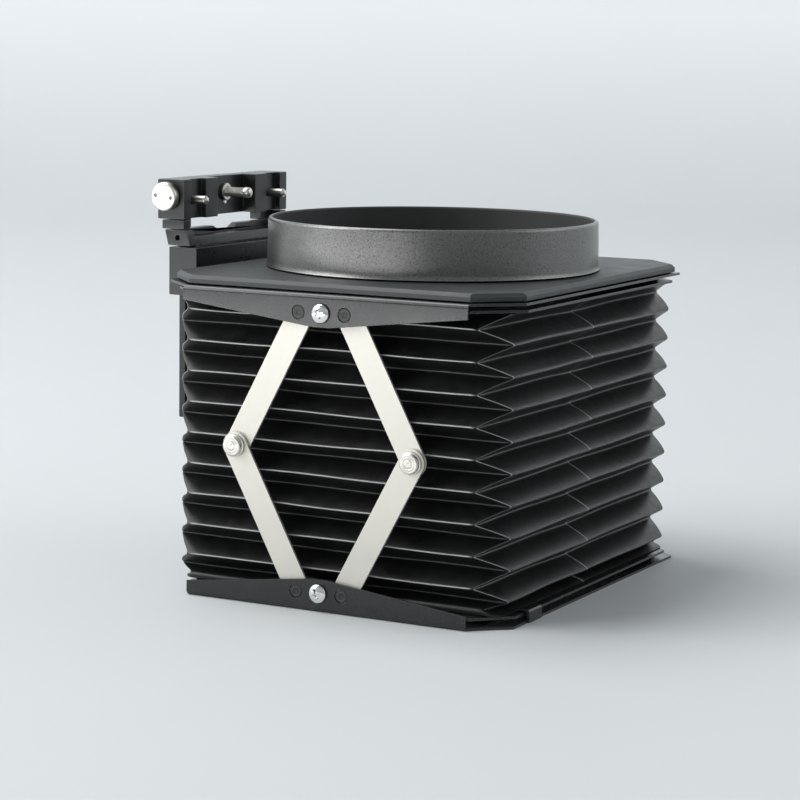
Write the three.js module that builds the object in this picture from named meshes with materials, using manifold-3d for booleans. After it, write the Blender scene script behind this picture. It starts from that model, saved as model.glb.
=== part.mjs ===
// A bellows lens hood for a view camera, standing on its front frame with the lens collar on top.
// Millimetres, +Z up. The origin is the middle of the footprint, on the surface the hood stands on.
// -X is the side that is uppermost on the camera: it carries the slide and the mounting bar.
import * as THREE from 'three';
import { mergeVertices } from 'three/addons/utils/BufferGeometryUtils.js';
import Module from 'manifold-3d';

const wasm = await Module();
wasm.setup();

// ---- folded frames ----
const GAP = 0.3;                  // clearance between neighbouring pieces
const SHEET = 0.8;                // thickness of the folded sheet
const FRAME_Y = 73.2;             // half depth of the folded frames, over the flanges
const REAR_X = 62.5;              // half width of the rear frame
const REAR_FLANGE = 49.5;         // half length of its flanges
const REAR_CORNER_Y = 60.2;       // its corners are cut off from here to the flange's end
const FRONT_LEFT = 57;            // the front frame's reach towards -X
const FRONT_RIGHT = 61.4;         // and towards +X
const FRONT_FLANGE_LEFT = 47.9;   // its flanges' reach towards -X
const FRONT_FLANGE_RIGHT = 50.5;  // and towards +X
const FRONT_CORNER_LEFT_Y = 58;   // where its corners are cut off on the -X side
const FRONT_CORNER_RIGHT_Y = 62.5; // and on the +X side
const WINDOW_X = 50;              // half width of the light opening in every rectangular frame
const WINDOW_Y = 59.2;            // half depth of the same opening
const REAR_TOP = 98.2;            // outer face of the rear frame, above the outer face of the front frame
const FLANGE_END = 4.65;          // flange height at its two ends
const FLANGE_MIDDLE = 10.2;       // flange height in the middle
const FLANGE_FLAT = 3;            // half length of the level middle of the flange's edge
const PIVOT_DEPTH = 5.9;          // pivots and screws, from the outer face of either frame
const PIVOT_X = 8;                // pivots, from the middle of the flange
const APRON_DROP = 8.4;           // depth of the rear frame's third flange, which holds the carriage
const APRON_Y = 36;               // half length of that flange

// ---- bellows frames and bellows ----
const INNER_INSET_X = 1.1;        // the bellows frames' edges lie this far inside the folded frames'
const INNER_INSET_Y = 3.8;
const SLOT = 1.6;                 // space between a folded frame and its bellows frame
const TAB_HALF = 3.2;             // half width of the tab behind the middle of a flange
const TAB_TOP = 9.3;              // height of that tab, from the outer face of the folded frame
const FOLDS = 17;                 // whole folds of the bellows, after the uppermost one
const FOLD_STEP = 4.88;           // height from a ridge to the next valley
const FIRST_FOLD = 90.3;          // height of the uppermost whole fold
const BELLOWS_X = 55;             // mean half width of the bellows
const BELLOWS_Y = 64.5;           // mean half depth of the bellows
const FOLD_DEPTH = 4.13;          // ridge and valley, from the mean size
const CUFF_SHARE = 0.8;           // share of the fold depth at the upper glued end
const LAST_VALLEY = 5.1;          // height of the X sides' lowest valley
const CUFF_LEFT = 55.3;           // the lower glued end's reach towards -X
const CUFF_RIGHT = 58.2;          // and towards +X
const FOLD_CORNER = 0.8;          // how much the folds' corners are cut off
const CUFF_CORNER = 4;            // and those of the lower glued end
const BELLOWS_WALL = 0.8;

// ---- lens panel and collar ----
const PANEL_X = 61.5;             // half width of the lens panel
const PANEL_Y = 70.6;             // half depth of the lens panel
const PANEL_CORNER = 12.6;
const PANEL_EDGE = 1.5;           // upright edge of the lens panel
const PANEL_BEVEL = 1.1;          // bevel above the upright edge
const PANEL_BEVEL_CORNER = 0.7;   // how much the bevel shortens each corner chamfer
const PANEL_HOLE = 50;            // radius of the round opening
const COLLAR_BASE_R = 54.4;       // outer radius of the lens collar at its base
const COLLAR_RIM_R = 53.7;        // outer radius at its rim
const COLLAR_INNER_R = 52.2;
const COLLAR_HEIGHT = 15.8;
const COLLAR_SEAT = 1.4;          // thickness of the ring that closes the collar's base inwards
const COLLAR_SPIGOT = 1;          // wall of the spigot that centres the collar in the panel

// ---- struts and fasteners ----
const ARM_LENGTH = 48.94;         // strut, pivot to pivot
const ARM_WIDTH = 8.5;
const ARM_THICK = 0.9;
const PIN_R = 1.4;                // shank radius of every rivet
const HOLE_R = 1.75;              // hole radius round a rivet shank
const FLUSH_R = 2.1;              // rivet end set flush in the flange
const FLUSH_SINK = 0.05;          // how far that end lies below the flange's face
const TAIL_R = 2.4;               // rivet tail behind an arm
const TAIL_THICK = 0.5;
const SPACER_R = 2.8;             // washer between the rear flange and an upper arm
const KNEE_HEAD_R = 3.5;
const KNEE_HEAD_HIGH = 1.9;
const SCREW_HEAD_R = 3;
const SCREW_HEAD_HIGH = 1.5;
const DOME_STEPS = 4;
const SCREW_R = 1.2;
const SCREW_BITE = 1;             // how far a screw reaches behind the arms' inner face
const CROSS_REACH = 1.5;          // half length of the cross in a screw head
const CROSS_HALF = 0.25;          // half width of the cross
const CROSS_DEPTH = 0.9;
const KNEE_CHAMFER = 0.5;

// ---- carriage, rails and block ----
const END_Y = 33;                 // half length of the mounting bar, the block and the carriage
const CARRIAGE_FRONT = -70.2;
const CARRIAGE_BACK = -80.9;
const CARRIAGE_BOTTOM = 89.9;
const CARRIAGE_TOP = 105.7;
const FOOT_Y = 24;                // middle of each foot of the carriage
const FOOT_HALF = 5;
const FOOT_TOP = 95;
const FOOT_HEAD_R = 2.2;
const FOOT_HEAD_HIGH = 1.1;
const FOOT_SCREW = 6;             // how far a foot's screw reaches beyond the apron
const LOCK_R = 1.8;               // shank of the lock screw that bears on the far rail
const LOCK_LENGTH = 6;
const RAIL_BACK = -77.9;
const RAIL_THICK = 2.4;
const RAIL_WIDTH = 6;
const RAIL_Y = 28.5;
const RAIL_BOTTOM = 49;
const RAIL_SOCKET = 3;            // depth of the rail's socket in the block
const STOP_Z = 50.7;
const STOP_R = 1.3;
const STOP_BACK = 1.2;            // how far a stop pin stands out behind its rail
const STOP_FRONT = 0.6;
const BLOCK_FRONT = -74;
const BLOCK_BACK = -82.6;
const BLOCK_BOTTOM = 106.2;
const BLOCK_TOP = 111.3;
const BLOCK_STEP = -79;           // in front of this the block is lower
const BLOCK_STEP_DROP = 2.2;
const BLOCK_LEAN = 1.3;           // how far the block leans forward from top to bottom
const NOTCH_HALF = 8.5;           // half length of the notch in the block's ledge
const NOTCH_DEPTH = 2;
const NOTCH_SLOPE = 2.5;          // sideways run of the notch's ends for each millimetre of depth
const BLIND_R = 0.9;              // the blind hole in the block's near end
const BLIND_DEEP = 1.2;
const BLIND_BEHIND = 3.6;         // its distance behind the block's front face
const NECK_FRONT = -75.2;
const NECK_BACK = -83.6;
const NECK_END = 4;               // length of the thick outer end of a neck
const GAP_HALF = 22.4;            // half length of the opening between the block and the bar

// ---- mounting bar ----
const BAR_FRONT = -75;            // face of the mounting bar that meets the camera
const BAR_BACK = -85.3;
const BAR_BOTTOM = 114.8;
const BAR_TOP = 127.9;
const CENTRE_GROOVE = 5;          // depth of the groove round the stud
const PIN_GROOVE = 2;             // depth of the grooves round the pins
const LAND_IN = 12;               // inner edge of each raised land, from the middle of the bar
const LAND_OUT = 19.5;
const LIP_IN = 28.5;              // inner edge of the raised lip at each end
const STUD_Z = 122.3;
const STUD_R = 1.6;
const STUD_TIP = -69.4;
const STUD_RELIEF = 2.6;          // length of the stud's plain nose
const NOSE_OVER = 0.2;            // how much wider than the thread the nose is
const KNOB_R = 4.8;
const KNOB_LENGTH = 7;
const KNURLS = 24;
const KNURL_DEPTH = 0.35;
const PIN_Z = 121;
const PIN_Y = 25;
const LOCATOR_R = 1.45;           // the two pins that locate the bar on the camera
const LOCATOR_OUT = 4.2;          // how far they stand out of the bar's face
const LOCATOR_DEEP = 5.7;         // and how far they reach into it
const LOCATOR_NOSE = 0.8;         // length and depth of their chamfered ends
const SET_SCREW_R = 0.9;
const SET_SCREW_Z = 118.9;
const SET_SCREW_DEEP = 2.2;
const SET_SCREW_OUT = 0.4;
const CAP_R = 4.75;               // the two-hole cap on the bar's near end
const CAP_HIGH = 2.6;
const CAP_X = -81.4;
const CAP_SHANK_R = 2;
const CAP_DEEP = 5.5;
const CAP_HOLE = 2.9;             // the two holes, from the middle of the cap
const CAP_HOLE_R = 0.65;
const CAP_HOLE_DEEP = 1.6;
const CAP_CHAMFER = 0.5;

// ---- clip on the front frame ----
const CLIP_Y = -48;
const CLIP_HALF = 4.5;
const CLIP_THICK = 0.6;
const CLIP_LAP = 3.4;             // how far the clip laps over the bellows frame
const CLIP_NOTCH = 1.4;           // depth of the notch in the front frame's edge

const ROUND = 16;                 // sides of small round pieces
const MID_ROUND = 24;             // sides of the knee rivets and the cap
const BIG_ROUND = 64;             // sides of the collar and the round opening

// ---- values that follow ----
const FLANGE_IN = FRAME_Y - SHEET;                       // inner face of a flange
const LOWER_ARM_OUT = FLANGE_IN - GAP;                   // outer face of the arms on the front frame
const LOWER_ARM_IN = LOWER_ARM_OUT - ARM_THICK;
const UPPER_ARM_OUT = LOWER_ARM_IN - GAP;                // outer face of the arms on the rear frame
const UPPER_ARM_IN = UPPER_ARM_OUT - ARM_THICK;
const PIVOT_SPAN = REAR_TOP - 2 * PIVOT_DEPTH;
const ARM_ANGLE = Math.acos(PIVOT_SPAN / 2 / ARM_LENGTH);
const BELLOWS_FRAME_Z = SHEET + SLOT;                    // from the outer face of the folded frame
const PANEL_BOTTOM = REAR_TOP + GAP;
const PANEL_TOP = PANEL_BOTTOM + PANEL_EDGE + PANEL_BEVEL;
const CLIP_OUT = FRONT_RIGHT + CLIP_THICK;
const KNOB_END = BAR_BACK - GAP - KNOB_LENGTH;
const AXIS_X = -(KNOB_END + REAR_X) / 2;                 // optical axis, from the middle of the footprint
const SIDES = [['near', -1], ['far', 1]];                // the -Y side and the +Y side
const HANDS = [['left', -1], ['right', 1]];              // the -X half and the +X half of a side

// ---- materials ----
function finish(color, roughness, metalness) {
  return new THREE.MeshStandardMaterial({ color, roughness, metalness });
}
const blackPaint = finish(0x33363a, 0.5, 0.3);
const bluePaint = finish(0x3d444b, 0.42, 0.3);
const crinklePaint = finish(0x56585a, 0.6, 0.3);
const leather = finish(0x17181a, 0.55, 0);
const nickel = finish(0xd8d2c6, 0.32, 1);
const chrome = finish(0xe6e6e6, 0.12, 1);
const blackened = finish(0x232426, 0.45, 0.6);
const anodised = finish(0x45484c, 0.45, 0.5);
const steel = finish(0xb9b7b0, 0.3, 1);

// ---- joining and cutting ----
function solid(geometry) {
  const bare = geometry.clone();
  bare.deleteAttribute('normal');
  bare.deleteAttribute('uv');
  const merged = mergeVertices(bare, 1e-5);
  return new wasm.Manifold(new wasm.Mesh({
    numProp: 3,
    vertProperties: Float32Array.from(merged.attributes.position.array),
    triVerts: Uint32Array.from(merged.index.array),
  }));
}
function geometryOf(body) {
  const mesh = body.getMesh();
  const geometry = new THREE.BufferGeometry();
  geometry.setAttribute('position', new THREE.BufferAttribute(mesh.vertProperties, 3));
  geometry.setIndex(new THREE.BufferAttribute(mesh.triVerts, 1));
  geometry.computeVertexNormals();
  return geometry;
}
function join(...geometries) {
  return geometryOf(geometries.map(solid).reduce((a, b) => a.add(b)));
}
function cut(geometry, ...tools) {
  return geometryOf(tools.map(solid).reduce((a, b) => a.subtract(b), solid(geometry)));
}

// ---- simple shapes ----
function box(x0, x1, y0, y1, z0, z1) {
  const geometry = new THREE.BoxGeometry(Math.abs(x1 - x0), Math.abs(y1 - y0), Math.abs(z1 - z0));
  return geometry.translate((x0 + x1) / 2, (y0 + y1) / 2, (z0 + z1) / 2);
}
function rodX(radius, x0, x1, y, z, sides = ROUND) {
  const rod = new THREE.CylinderGeometry(radius, radius, x1 - x0, sides).rotateZ(Math.PI / 2);
  return rod.translate((x0 + x1) / 2, y, z);
}
function rodY(radius, x, y0, y1, z, sides = ROUND) {
  return new THREE.CylinderGeometry(radius, radius, y1 - y0, sides).translate(x, (y0 + y1) / 2, z);
}
function rodZ(radius, z0, z1, sides = ROUND) {
  const rod = new THREE.CylinderGeometry(radius, radius, z1 - z0, sides).rotateX(Math.PI / 2);
  return rod.translate(0, 0, (z0 + z1) / 2);
}
// A rectangle with its corners cut off: its ends in X, where its Y sides' straight edges end, and
// where its X sides' straight edges end.
function octagon({ left, right, edgeLeft, edgeRight, halfY, cornerLeft, cornerRight }) {
  return [
    [right, -cornerRight], [right, cornerRight], [edgeRight, halfY], [-edgeLeft, halfY],
    [-left, cornerLeft], [-left, -cornerLeft], [-edgeLeft, -halfY], [edgeRight, -halfY],
  ];
}
function evenOctagon({ left, right, halfY, corner }) {
  return octagon({
    left,
    right,
    edgeLeft: left - corner,
    edgeRight: right - corner,
    halfY,
    cornerLeft: halfY - corner,
    cornerRight: halfY - corner,
  });
}
// A closed solid through convex outlines stacked at rising heights.
function loft(outlines, heights) {
  const sides = outlines[0].length;
  const points = outlines.flatMap((outline, level) => outline.map(([x, y]) => [x, y, heights[level]]));
  const faces = [];
  for (let level = 0; level + 1 < outlines.length; level += 1) {
    for (let i = 0; i < sides; i += 1) {
      const a = level * sides + i;
      const b = level * sides + (i + 1) % sides;
      faces.push(a, b, b + sides, a, b + sides, a + sides);
    }
  }
  const last = (outlines.length - 1) * sides;
  for (let i = 1; i + 1 < sides; i += 1) {
    faces.push(0, i + 1, i, last, last + i, last + i + 1);
  }
  const geometry = new THREE.BufferGeometry();
  geometry.setAttribute('position', new THREE.Float32BufferAttribute(points.flat(), 3));
  geometry.setIndex(faces);
  return geometry;
}
// A solid turned about Z, X or Y from a list of [radius, position on the axis].
function turnedZ(profile, sides = ROUND) {
  const points = profile.map(([radius, height]) => new THREE.Vector2(radius, height));
  return geometryOf(solid(new THREE.LatheGeometry(points, sides).rotateX(Math.PI / 2)));
}
function turnedX(profile, sides = ROUND) {
  return turnedZ(profile, sides).rotateY(Math.PI / 2);
}
function turnedY(profile, sides = ROUND) {
  return turnedZ(profile, sides).rotateX(-Math.PI / 2);
}
function outlineOf(points) {
  return new THREE.Shape(points.map(([x, y]) => new THREE.Vector2(x, y)));
}
function circlePath(x, y, radius) {
  const path = new THREE.Path();
  path.absarc(x, y, radius, 0, 2 * Math.PI, true);
  return path;
}
// An outline drawn in X and Z, from y to y + depth.
function extrudedY(shape, y, depth) {
  const body = new THREE.ExtrudeGeometry(shape, { depth, bevelEnabled: false, curveSegments: ROUND / 2 });
  return body.rotateX(Math.PI / 2).translate(0, y + depth, 0);
}
function add(parent, name, geometry, material) {
  const mesh = new THREE.Mesh(geometry, material);
  mesh.name = name;
  parent.add(mesh);
  return mesh;
}

// ---- frames, each built with its outer face on z = 0 ----
function windowed(outline, z0) {
  const sheet = loft([outline, outline], [z0, z0 + SHEET]);
  return cut(sheet, box(-WINDOW_X, WINDOW_X, -WINDOW_Y, WINDOW_Y, z0 - 1, z0 + SHEET + 1));
}
// The upright flange of one Y side, with holes for two pivots and a screw.
function flange(side, reachLeft, reachRight) {
  const outline = outlineOf([
    [-reachLeft, 0], [reachRight, 0], [reachRight, FLANGE_END], [FLANGE_FLAT, FLANGE_MIDDLE],
    [-FLANGE_FLAT, FLANGE_MIDDLE], [-reachLeft, FLANGE_END],
  ]);
  outline.holes.push(circlePath(0, PIVOT_DEPTH, SCREW_R + GAP));
  for (const x of [-PIVOT_X, PIVOT_X]) {
    outline.holes.push(circlePath(x, PIVOT_DEPTH, FLUSH_R + GAP));
  }
  return extrudedY(outline, side < 0 ? -FRAME_Y : FLANGE_IN, SHEET);
}
function foldedFrame(size) {
  const flanges = SIDES.map(([, side]) => flange(side, size.edgeLeft, size.edgeRight));
  return join(windowed(octagon(size), 0), ...flanges);
}
// The flat frame that the bellows is glued to, with a screwed tab behind the middle of each flange.
function bellowsFrame(size) {
  const z0 = BELLOWS_FRAME_Z;
  const halfY = size.halfY - INNER_INSET_Y;
  const inset = {
    left: size.left - INNER_INSET_X,
    right: size.right - INNER_INSET_X,
    edgeLeft: size.edgeLeft - INNER_INSET_X,
    edgeRight: size.edgeRight - INNER_INSET_X,
    halfY,
    cornerLeft: size.cornerLeft - INNER_INSET_Y,
    cornerRight: size.cornerRight - INNER_INSET_Y,
  };
  const tabs = SIDES.flatMap(([, side]) => [
    box(-TAB_HALF, TAB_HALF, side * (LOWER_ARM_OUT - SHEET), side * LOWER_ARM_OUT, z0, TAB_TOP),
    box(-TAB_HALF, TAB_HALF, side * (halfY - 1), side * LOWER_ARM_OUT, z0, z0 + SHEET),
  ]);
  const frame = join(windowed(octagon(inset), z0), ...tabs);
  return cut(frame, rodY(SCREW_R + GAP, 0, -FRAME_Y, FRAME_Y, PIVOT_DEPTH));
}
const rearSize = {
  left: REAR_X,
  right: REAR_X,
  edgeLeft: REAR_FLANGE,
  edgeRight: REAR_FLANGE,
  halfY: FRAME_Y,
  cornerLeft: REAR_CORNER_Y,
  cornerRight: REAR_CORNER_Y,
};
const frontSize = {
  left: FRONT_LEFT,
  right: FRONT_RIGHT,
  edgeLeft: FRONT_FLANGE_LEFT,
  edgeRight: FRONT_FLANGE_RIGHT,
  halfY: FRAME_Y,
  cornerLeft: FRONT_CORNER_LEFT_Y,
  cornerRight: FRONT_CORNER_RIGHT_Y,
};

// ---- struts and their fasteners, made for the -Y side ----
// A strut standing up from its lower pivot, with its outer face at y = -out.
function strut(out) {
  const outline = new THREE.Shape();
  outline.absarc(0, 0, ARM_WIDTH / 2, Math.PI, 2 * Math.PI, false);
  outline.absarc(0, ARM_LENGTH, ARM_WIDTH / 2, 0, Math.PI, false);
  outline.holes.push(circlePath(0, 0, HOLE_R), circlePath(0, ARM_LENGTH, HOLE_R));
  return extrudedY(outline, -out, ARM_THICK);
}
// A rivet flush with the flange, through an arm that lies between y = -armOut and y = -armIn.
function flushRivet(armOut, armIn) {
  const start = -FRAME_Y + FLUSH_SINK;
  const spacer = armOut === LOWER_ARM_OUT ? [] : [
    [PIN_R, -LOWER_ARM_OUT], [SPACER_R, -LOWER_ARM_OUT], [SPACER_R, -armOut - GAP], [PIN_R, -armOut - GAP],
  ];
  const tail = -armIn + GAP;
  return turnedY([
    [0, start], [FLUSH_R, start], [FLUSH_R, -FLANGE_IN], [PIN_R, -FLANGE_IN], ...spacer,
    [PIN_R, tail], [TAIL_R, tail], [TAIL_R, tail + TAIL_THICK], [0, tail + TAIL_THICK],
  ]);
}
// The rivet of a knee, with a raised flat head, through the lower and the upper arm.
function kneeRivet() {
  const seat = -LOWER_ARM_OUT - GAP;
  const top = seat - KNEE_HEAD_HIGH;
  const tail = -UPPER_ARM_IN + GAP;
  return turnedY([
    [0, top], [KNEE_HEAD_R - KNEE_CHAMFER, top], [KNEE_HEAD_R, top + KNEE_CHAMFER], [KNEE_HEAD_R, seat],
    [PIN_R, seat], [PIN_R, tail], [TAIL_R, tail], [TAIL_R, tail + TAIL_THICK], [0, tail + TAIL_THICK],
  ], MID_ROUND);
}
// A domed cross-head screw through the flange and the tab behind it.
function domedScrew() {
  const seat = -FRAME_Y - GAP;
  const rim = seat - GAP;
  const top = seat - SCREW_HEAD_HIGH;
  const end = -LOWER_ARM_IN + SCREW_BITE;
  const dome = [];
  for (let step = 0; step <= DOME_STEPS; step += 1) {
    const angle = (step / DOME_STEPS) * (Math.PI / 2);
    dome.push([SCREW_HEAD_R * Math.sin(angle), rim - (rim - top) * Math.cos(angle)]);
  }
  const body = turnedY([...dome, [SCREW_HEAD_R, seat], [SCREW_R, seat], [SCREW_R, end], [0, end]]);
  return cut(
    body,
    box(-CROSS_REACH, CROSS_REACH, top - 1, top + CROSS_DEPTH, -CROSS_HALF, CROSS_HALF),
    box(-CROSS_HALF, CROSS_HALF, top - 1, top + CROSS_DEPTH, -CROSS_REACH, CROSS_REACH),
  );
}

// ---- bellows: two sides lead and two sides lag by one fold, which gives its zigzag corners ----
function bellows() {
  const bottom = BELLOWS_FRAME_Z + SHEET + GAP;
  const top = REAR_TOP - bottom;
  const cuff = CUFF_SHARE * FOLD_DEPTH;
  const levels = [];
  function level(z, left, right, halfY, corner = FOLD_CORNER) {
    levels.unshift({ z, left, right, halfY, corner });
  }
  level(top, BELLOWS_X + cuff, BELLOWS_X + cuff, BELLOWS_Y - cuff);
  for (let fold = 0; fold <= FOLDS; fold += 1) {
    const swing = fold % 2 === 0 ? FOLD_DEPTH : -FOLD_DEPTH;
    level(FIRST_FOLD - fold * FOLD_STEP, BELLOWS_X - swing, BELLOWS_X - swing, BELLOWS_Y + swing);
  }
  level(LAST_VALLEY, BELLOWS_X - cuff, BELLOWS_X - cuff, BELLOWS_Y);
  level(bottom, CUFF_LEFT, CUFF_RIGHT, BELLOWS_Y, CUFF_CORNER);

  const outer = levels.map(evenOctagon);
  const inner = levels.map(({ left, right, halfY, corner }) => evenOctagon({
    left: left - BELLOWS_WALL,
    right: right - BELLOWS_WALL,
    halfY: halfY - BELLOWS_WALL,
    corner,
  }));
  const heights = levels.map(({ z }) => z);
  const innerHeights = [bottom - 1, ...heights.slice(1, -1), top + 1];
  return cut(loft(outer, heights), loft(inner, innerHeights));
}

// ---- knurled screws that turn about X: grip from x = 0 towards -X, shank towards +X ----
function knurledScrew(length, shank) {
  const outline = [];
  for (let i = 0; i < 2 * KNURLS; i += 1) {
    const angle = (i / KNURLS) * Math.PI;
    const radius = i % 2 === 0 ? KNOB_R : KNOB_R - KNURL_DEPTH;
    outline.push([radius * Math.cos(angle), radius * Math.sin(angle)]);
  }
  const grip = new THREE.ExtrudeGeometry(outlineOf(outline), { depth: length, bevelEnabled: false });
  return join(grip.rotateY(-Math.PI / 2), shank);
}

// ======== assembly ========
const object = new THREE.Group();
const hood = new THREE.Group();
hood.position.x = AXIS_X;
object.add(hood);

// The rear frames are the front frames turned over.
const rear = new THREE.Group();
rear.rotation.x = Math.PI;
rear.position.z = REAR_TOP;
hood.add(rear);

const notchLow = CLIP_Y - CLIP_HALF - GAP;
const notchHigh = CLIP_Y + CLIP_HALF + GAP;
const clipNotch = box(FRONT_RIGHT - CLIP_NOTCH, FRONT_RIGHT + 1, notchLow, notchHigh, -1, 2 * SHEET);
add(hood, 'front_frame', cut(foldedFrame(frontSize), clipNotch), blackPaint);
add(hood, 'front_bellows_frame', bellowsFrame(frontSize), blackPaint);

const footZ = (CARRIAGE_BOTTOM + FOOT_TOP) / 2;
const apron = box(-REAR_X, -REAR_X + SHEET, -APRON_Y, APRON_Y, 0, APRON_DROP);
const apronHoles = SIDES.map(([, side]) => (
  rodX(SCREW_R + GAP, -REAR_X - 1, -REAR_X + 2 * SHEET, side * FOOT_Y, REAR_TOP - footZ)
));
add(rear, 'rear_frame', cut(join(foldedFrame(rearSize), apron), ...apronHoles), blackPaint);
add(rear, 'rear_bellows_frame', bellowsFrame(rearSize), blackPaint);

// The clip that wraps the +X edge of the two front frames.
const clipTop = BELLOWS_FRAME_Z + SHEET + GAP + CLIP_THICK;
const clip = join(
  box(FRONT_RIGHT - CLIP_THICK, CLIP_OUT, CLIP_Y - CLIP_HALF, CLIP_Y + CLIP_HALF, 0, clipTop),
  box(CLIP_OUT - CLIP_LAP, CLIP_OUT, CLIP_Y - CLIP_HALF, CLIP_Y + CLIP_HALF, clipTop - CLIP_THICK, clipTop),
);
add(hood, 'front_clip', clip, blackPaint);

add(hood, 'bellows', bellows(), leather);

const panelEdge = evenOctagon({ left: PANEL_X, right: PANEL_X, halfY: PANEL_Y, corner: PANEL_CORNER });
const panelFace = evenOctagon({
  left: PANEL_X - PANEL_BEVEL,
  right: PANEL_X - PANEL_BEVEL,
  halfY: PANEL_Y - PANEL_BEVEL,
  corner: PANEL_CORNER - PANEL_BEVEL_CORNER,
});
const panelHeights = [PANEL_BOTTOM, PANEL_BOTTOM + PANEL_EDGE, PANEL_TOP];
const panelBody = loft([panelEdge, panelEdge, panelFace], panelHeights);
const panelHole = rodZ(PANEL_HOLE, PANEL_BOTTOM - 1, PANEL_TOP + 1, BIG_ROUND);
add(hood, 'lens_panel', cut(panelBody, panelHole), bluePaint);

const collarFoot = PANEL_TOP + GAP;
const collarRim = collarFoot + COLLAR_HEIGHT;
const spigotOut = PANEL_HOLE - GAP;
const spigotIn = spigotOut - COLLAR_SPIGOT;
const collarWall = COLLAR_RIM_R - COLLAR_INNER_R;
const collarProfile = [
  [spigotIn, PANEL_BOTTOM], [spigotOut, PANEL_BOTTOM], [spigotOut, collarFoot], [COLLAR_BASE_R, collarFoot],
  [COLLAR_RIM_R, collarRim - collarWall / 2], [COLLAR_RIM_R - collarWall / 2, collarRim],
  [COLLAR_INNER_R, collarRim], [COLLAR_INNER_R, collarFoot + COLLAR_SEAT],
  [spigotIn, collarFoot + COLLAR_SEAT], [spigotIn, PANEL_BOTTOM],
];
add(hood, 'lens_collar', turnedZ(collarProfile, BIG_ROUND), crinklePaint);

// Screws, pivots, struts and knees of both flanges. The far side is the near side turned about Z.
for (const [sideName, side] of SIDES) {
  const flangeSide = new THREE.Group();
  flangeSide.rotation.z = side < 0 ? 0 : Math.PI;
  flangeSide.position.z = PIVOT_DEPTH;
  hood.add(flangeSide);

  add(flangeSide, `front_screw_${sideName}`, domedScrew(), chrome);
  add(flangeSide, `rear_screw_${sideName}`, domedScrew(), chrome).position.z = PIVOT_SPAN;

  for (const [handName, hand] of HANDS) {
    const outward = -side * hand;
    const x = outward * PIVOT_X;
    const frontPivot = flushRivet(LOWER_ARM_OUT, LOWER_ARM_IN);
    const rearPivot = flushRivet(UPPER_ARM_OUT, UPPER_ARM_IN);
    const corner = `${sideName}_${handName}`;
    add(flangeSide, `front_pivot_${corner}`, frontPivot, blackened).position.set(x, 0, 0);
    add(flangeSide, `rear_pivot_${corner}`, rearPivot, blackened).position.set(x, 0, PIVOT_SPAN);

    const lower = new THREE.Group();
    lower.position.x = x;
    lower.rotation.y = outward * ARM_ANGLE;
    flangeSide.add(lower);
    add(lower, `lower_strut_${corner}`, strut(LOWER_ARM_OUT), nickel);
    add(lower, `knee_${corner}`, kneeRivet(), steel).position.z = ARM_LENGTH;

    const upper = new THREE.Group();
    upper.position.z = ARM_LENGTH;
    upper.rotation.y = -2 * outward * ARM_ANGLE;
    lower.add(upper);
    add(upper, `upper_strut_${corner}`, strut(UPPER_ARM_OUT), nickel);
  }
}

// The carriage: a slab with two feet screwed to the rear frame's apron, and two slots for the rails.
const lockZ = (CARRIAGE_BOTTOM + CARRIAGE_TOP) / 2;
const slotHalf = RAIL_WIDTH / 2 + GAP;
function railSlot(side, z0, z1) {
  const y = side * RAIL_Y;
  return box(RAIL_BACK - GAP, RAIL_BACK + RAIL_THICK + GAP, y - slotHalf, y + slotHalf, z0, z1);
}
const feet = SIDES.map(([, side]) => {
  const y = side * FOOT_Y;
  return box(CARRIAGE_FRONT - 1, -REAR_X - GAP, y - FOOT_HALF, y + FOOT_HALF, CARRIAGE_BOTTOM, FOOT_TOP);
});
const slab = box(CARRIAGE_BACK, CARRIAGE_FRONT, -END_Y, END_Y, CARRIAGE_BOTTOM, CARRIAGE_TOP);
const footScrewEnd = -REAR_X - FOOT_SCREW;
const carriage = cut(
  join(slab, ...feet),
  ...SIDES.map(([, side]) => railSlot(side, CARRIAGE_BOTTOM - 1, CARRIAGE_TOP + 1)),
  ...SIDES.map(([, side]) => rodX(SCREW_R + GAP, footScrewEnd - GAP, -REAR_X, side * FOOT_Y, footZ)),
  rodX(LOCK_R + GAP, CARRIAGE_BACK - 1, RAIL_BACK, RAIL_Y, lockZ),
);
add(hood, 'carriage', carriage, anodised);

const footSeat = -REAR_X + SHEET + GAP;
const footScrew = [
  [0, footScrewEnd], [SCREW_R, footScrewEnd], [SCREW_R, footSeat],
  [FOOT_HEAD_R, footSeat], [FOOT_HEAD_R, footSeat + FOOT_HEAD_HIGH], [0, footSeat + FOOT_HEAD_HIGH],
];
for (const [sideName, side] of SIDES) {
  add(hood, `carriage_screw_${sideName}`, turnedX(footScrew), steel).position.set(0, side * FOOT_Y, footZ);
}
const lockShank = rodX(LOCK_R, -1, RAIL_BACK - CARRIAGE_BACK, 0, 0);
const lockScrew = add(hood, 'lock_screw', knurledScrew(LOCK_LENGTH, lockShank), blackened);
lockScrew.position.set(CARRIAGE_BACK - GAP, RAIL_Y, lockZ);

// The block leans forward towards its bottom. It is lower in front and has a notch in its rear ledge.
const blockSection = outlineOf([
  [BLOCK_BACK + BLOCK_LEAN, BLOCK_BOTTOM], [BLOCK_FRONT + BLOCK_LEAN, BLOCK_BOTTOM],
  [BLOCK_FRONT, BLOCK_TOP], [BLOCK_BACK, BLOCK_TOP],
]);
const notchFloor = NOTCH_HALF - NOTCH_DEPTH * NOTCH_SLOPE;
const notchMouth = NOTCH_HALF + NOTCH_SLOPE;
const notchSection = outlineOf([
  [-notchFloor, -NOTCH_DEPTH], [notchFloor, -NOTCH_DEPTH], [notchMouth, 1], [-notchMouth, 1],
]);
const ledge = BLOCK_STEP - BLOCK_BACK;
const notch = extrudedY(notchSection, -ledge - 1, 2 * ledge + 2).rotateZ(Math.PI / 2);
notch.translate(BLOCK_BACK, 0, BLOCK_TOP);
const stepY = END_Y - NECK_END;
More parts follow.
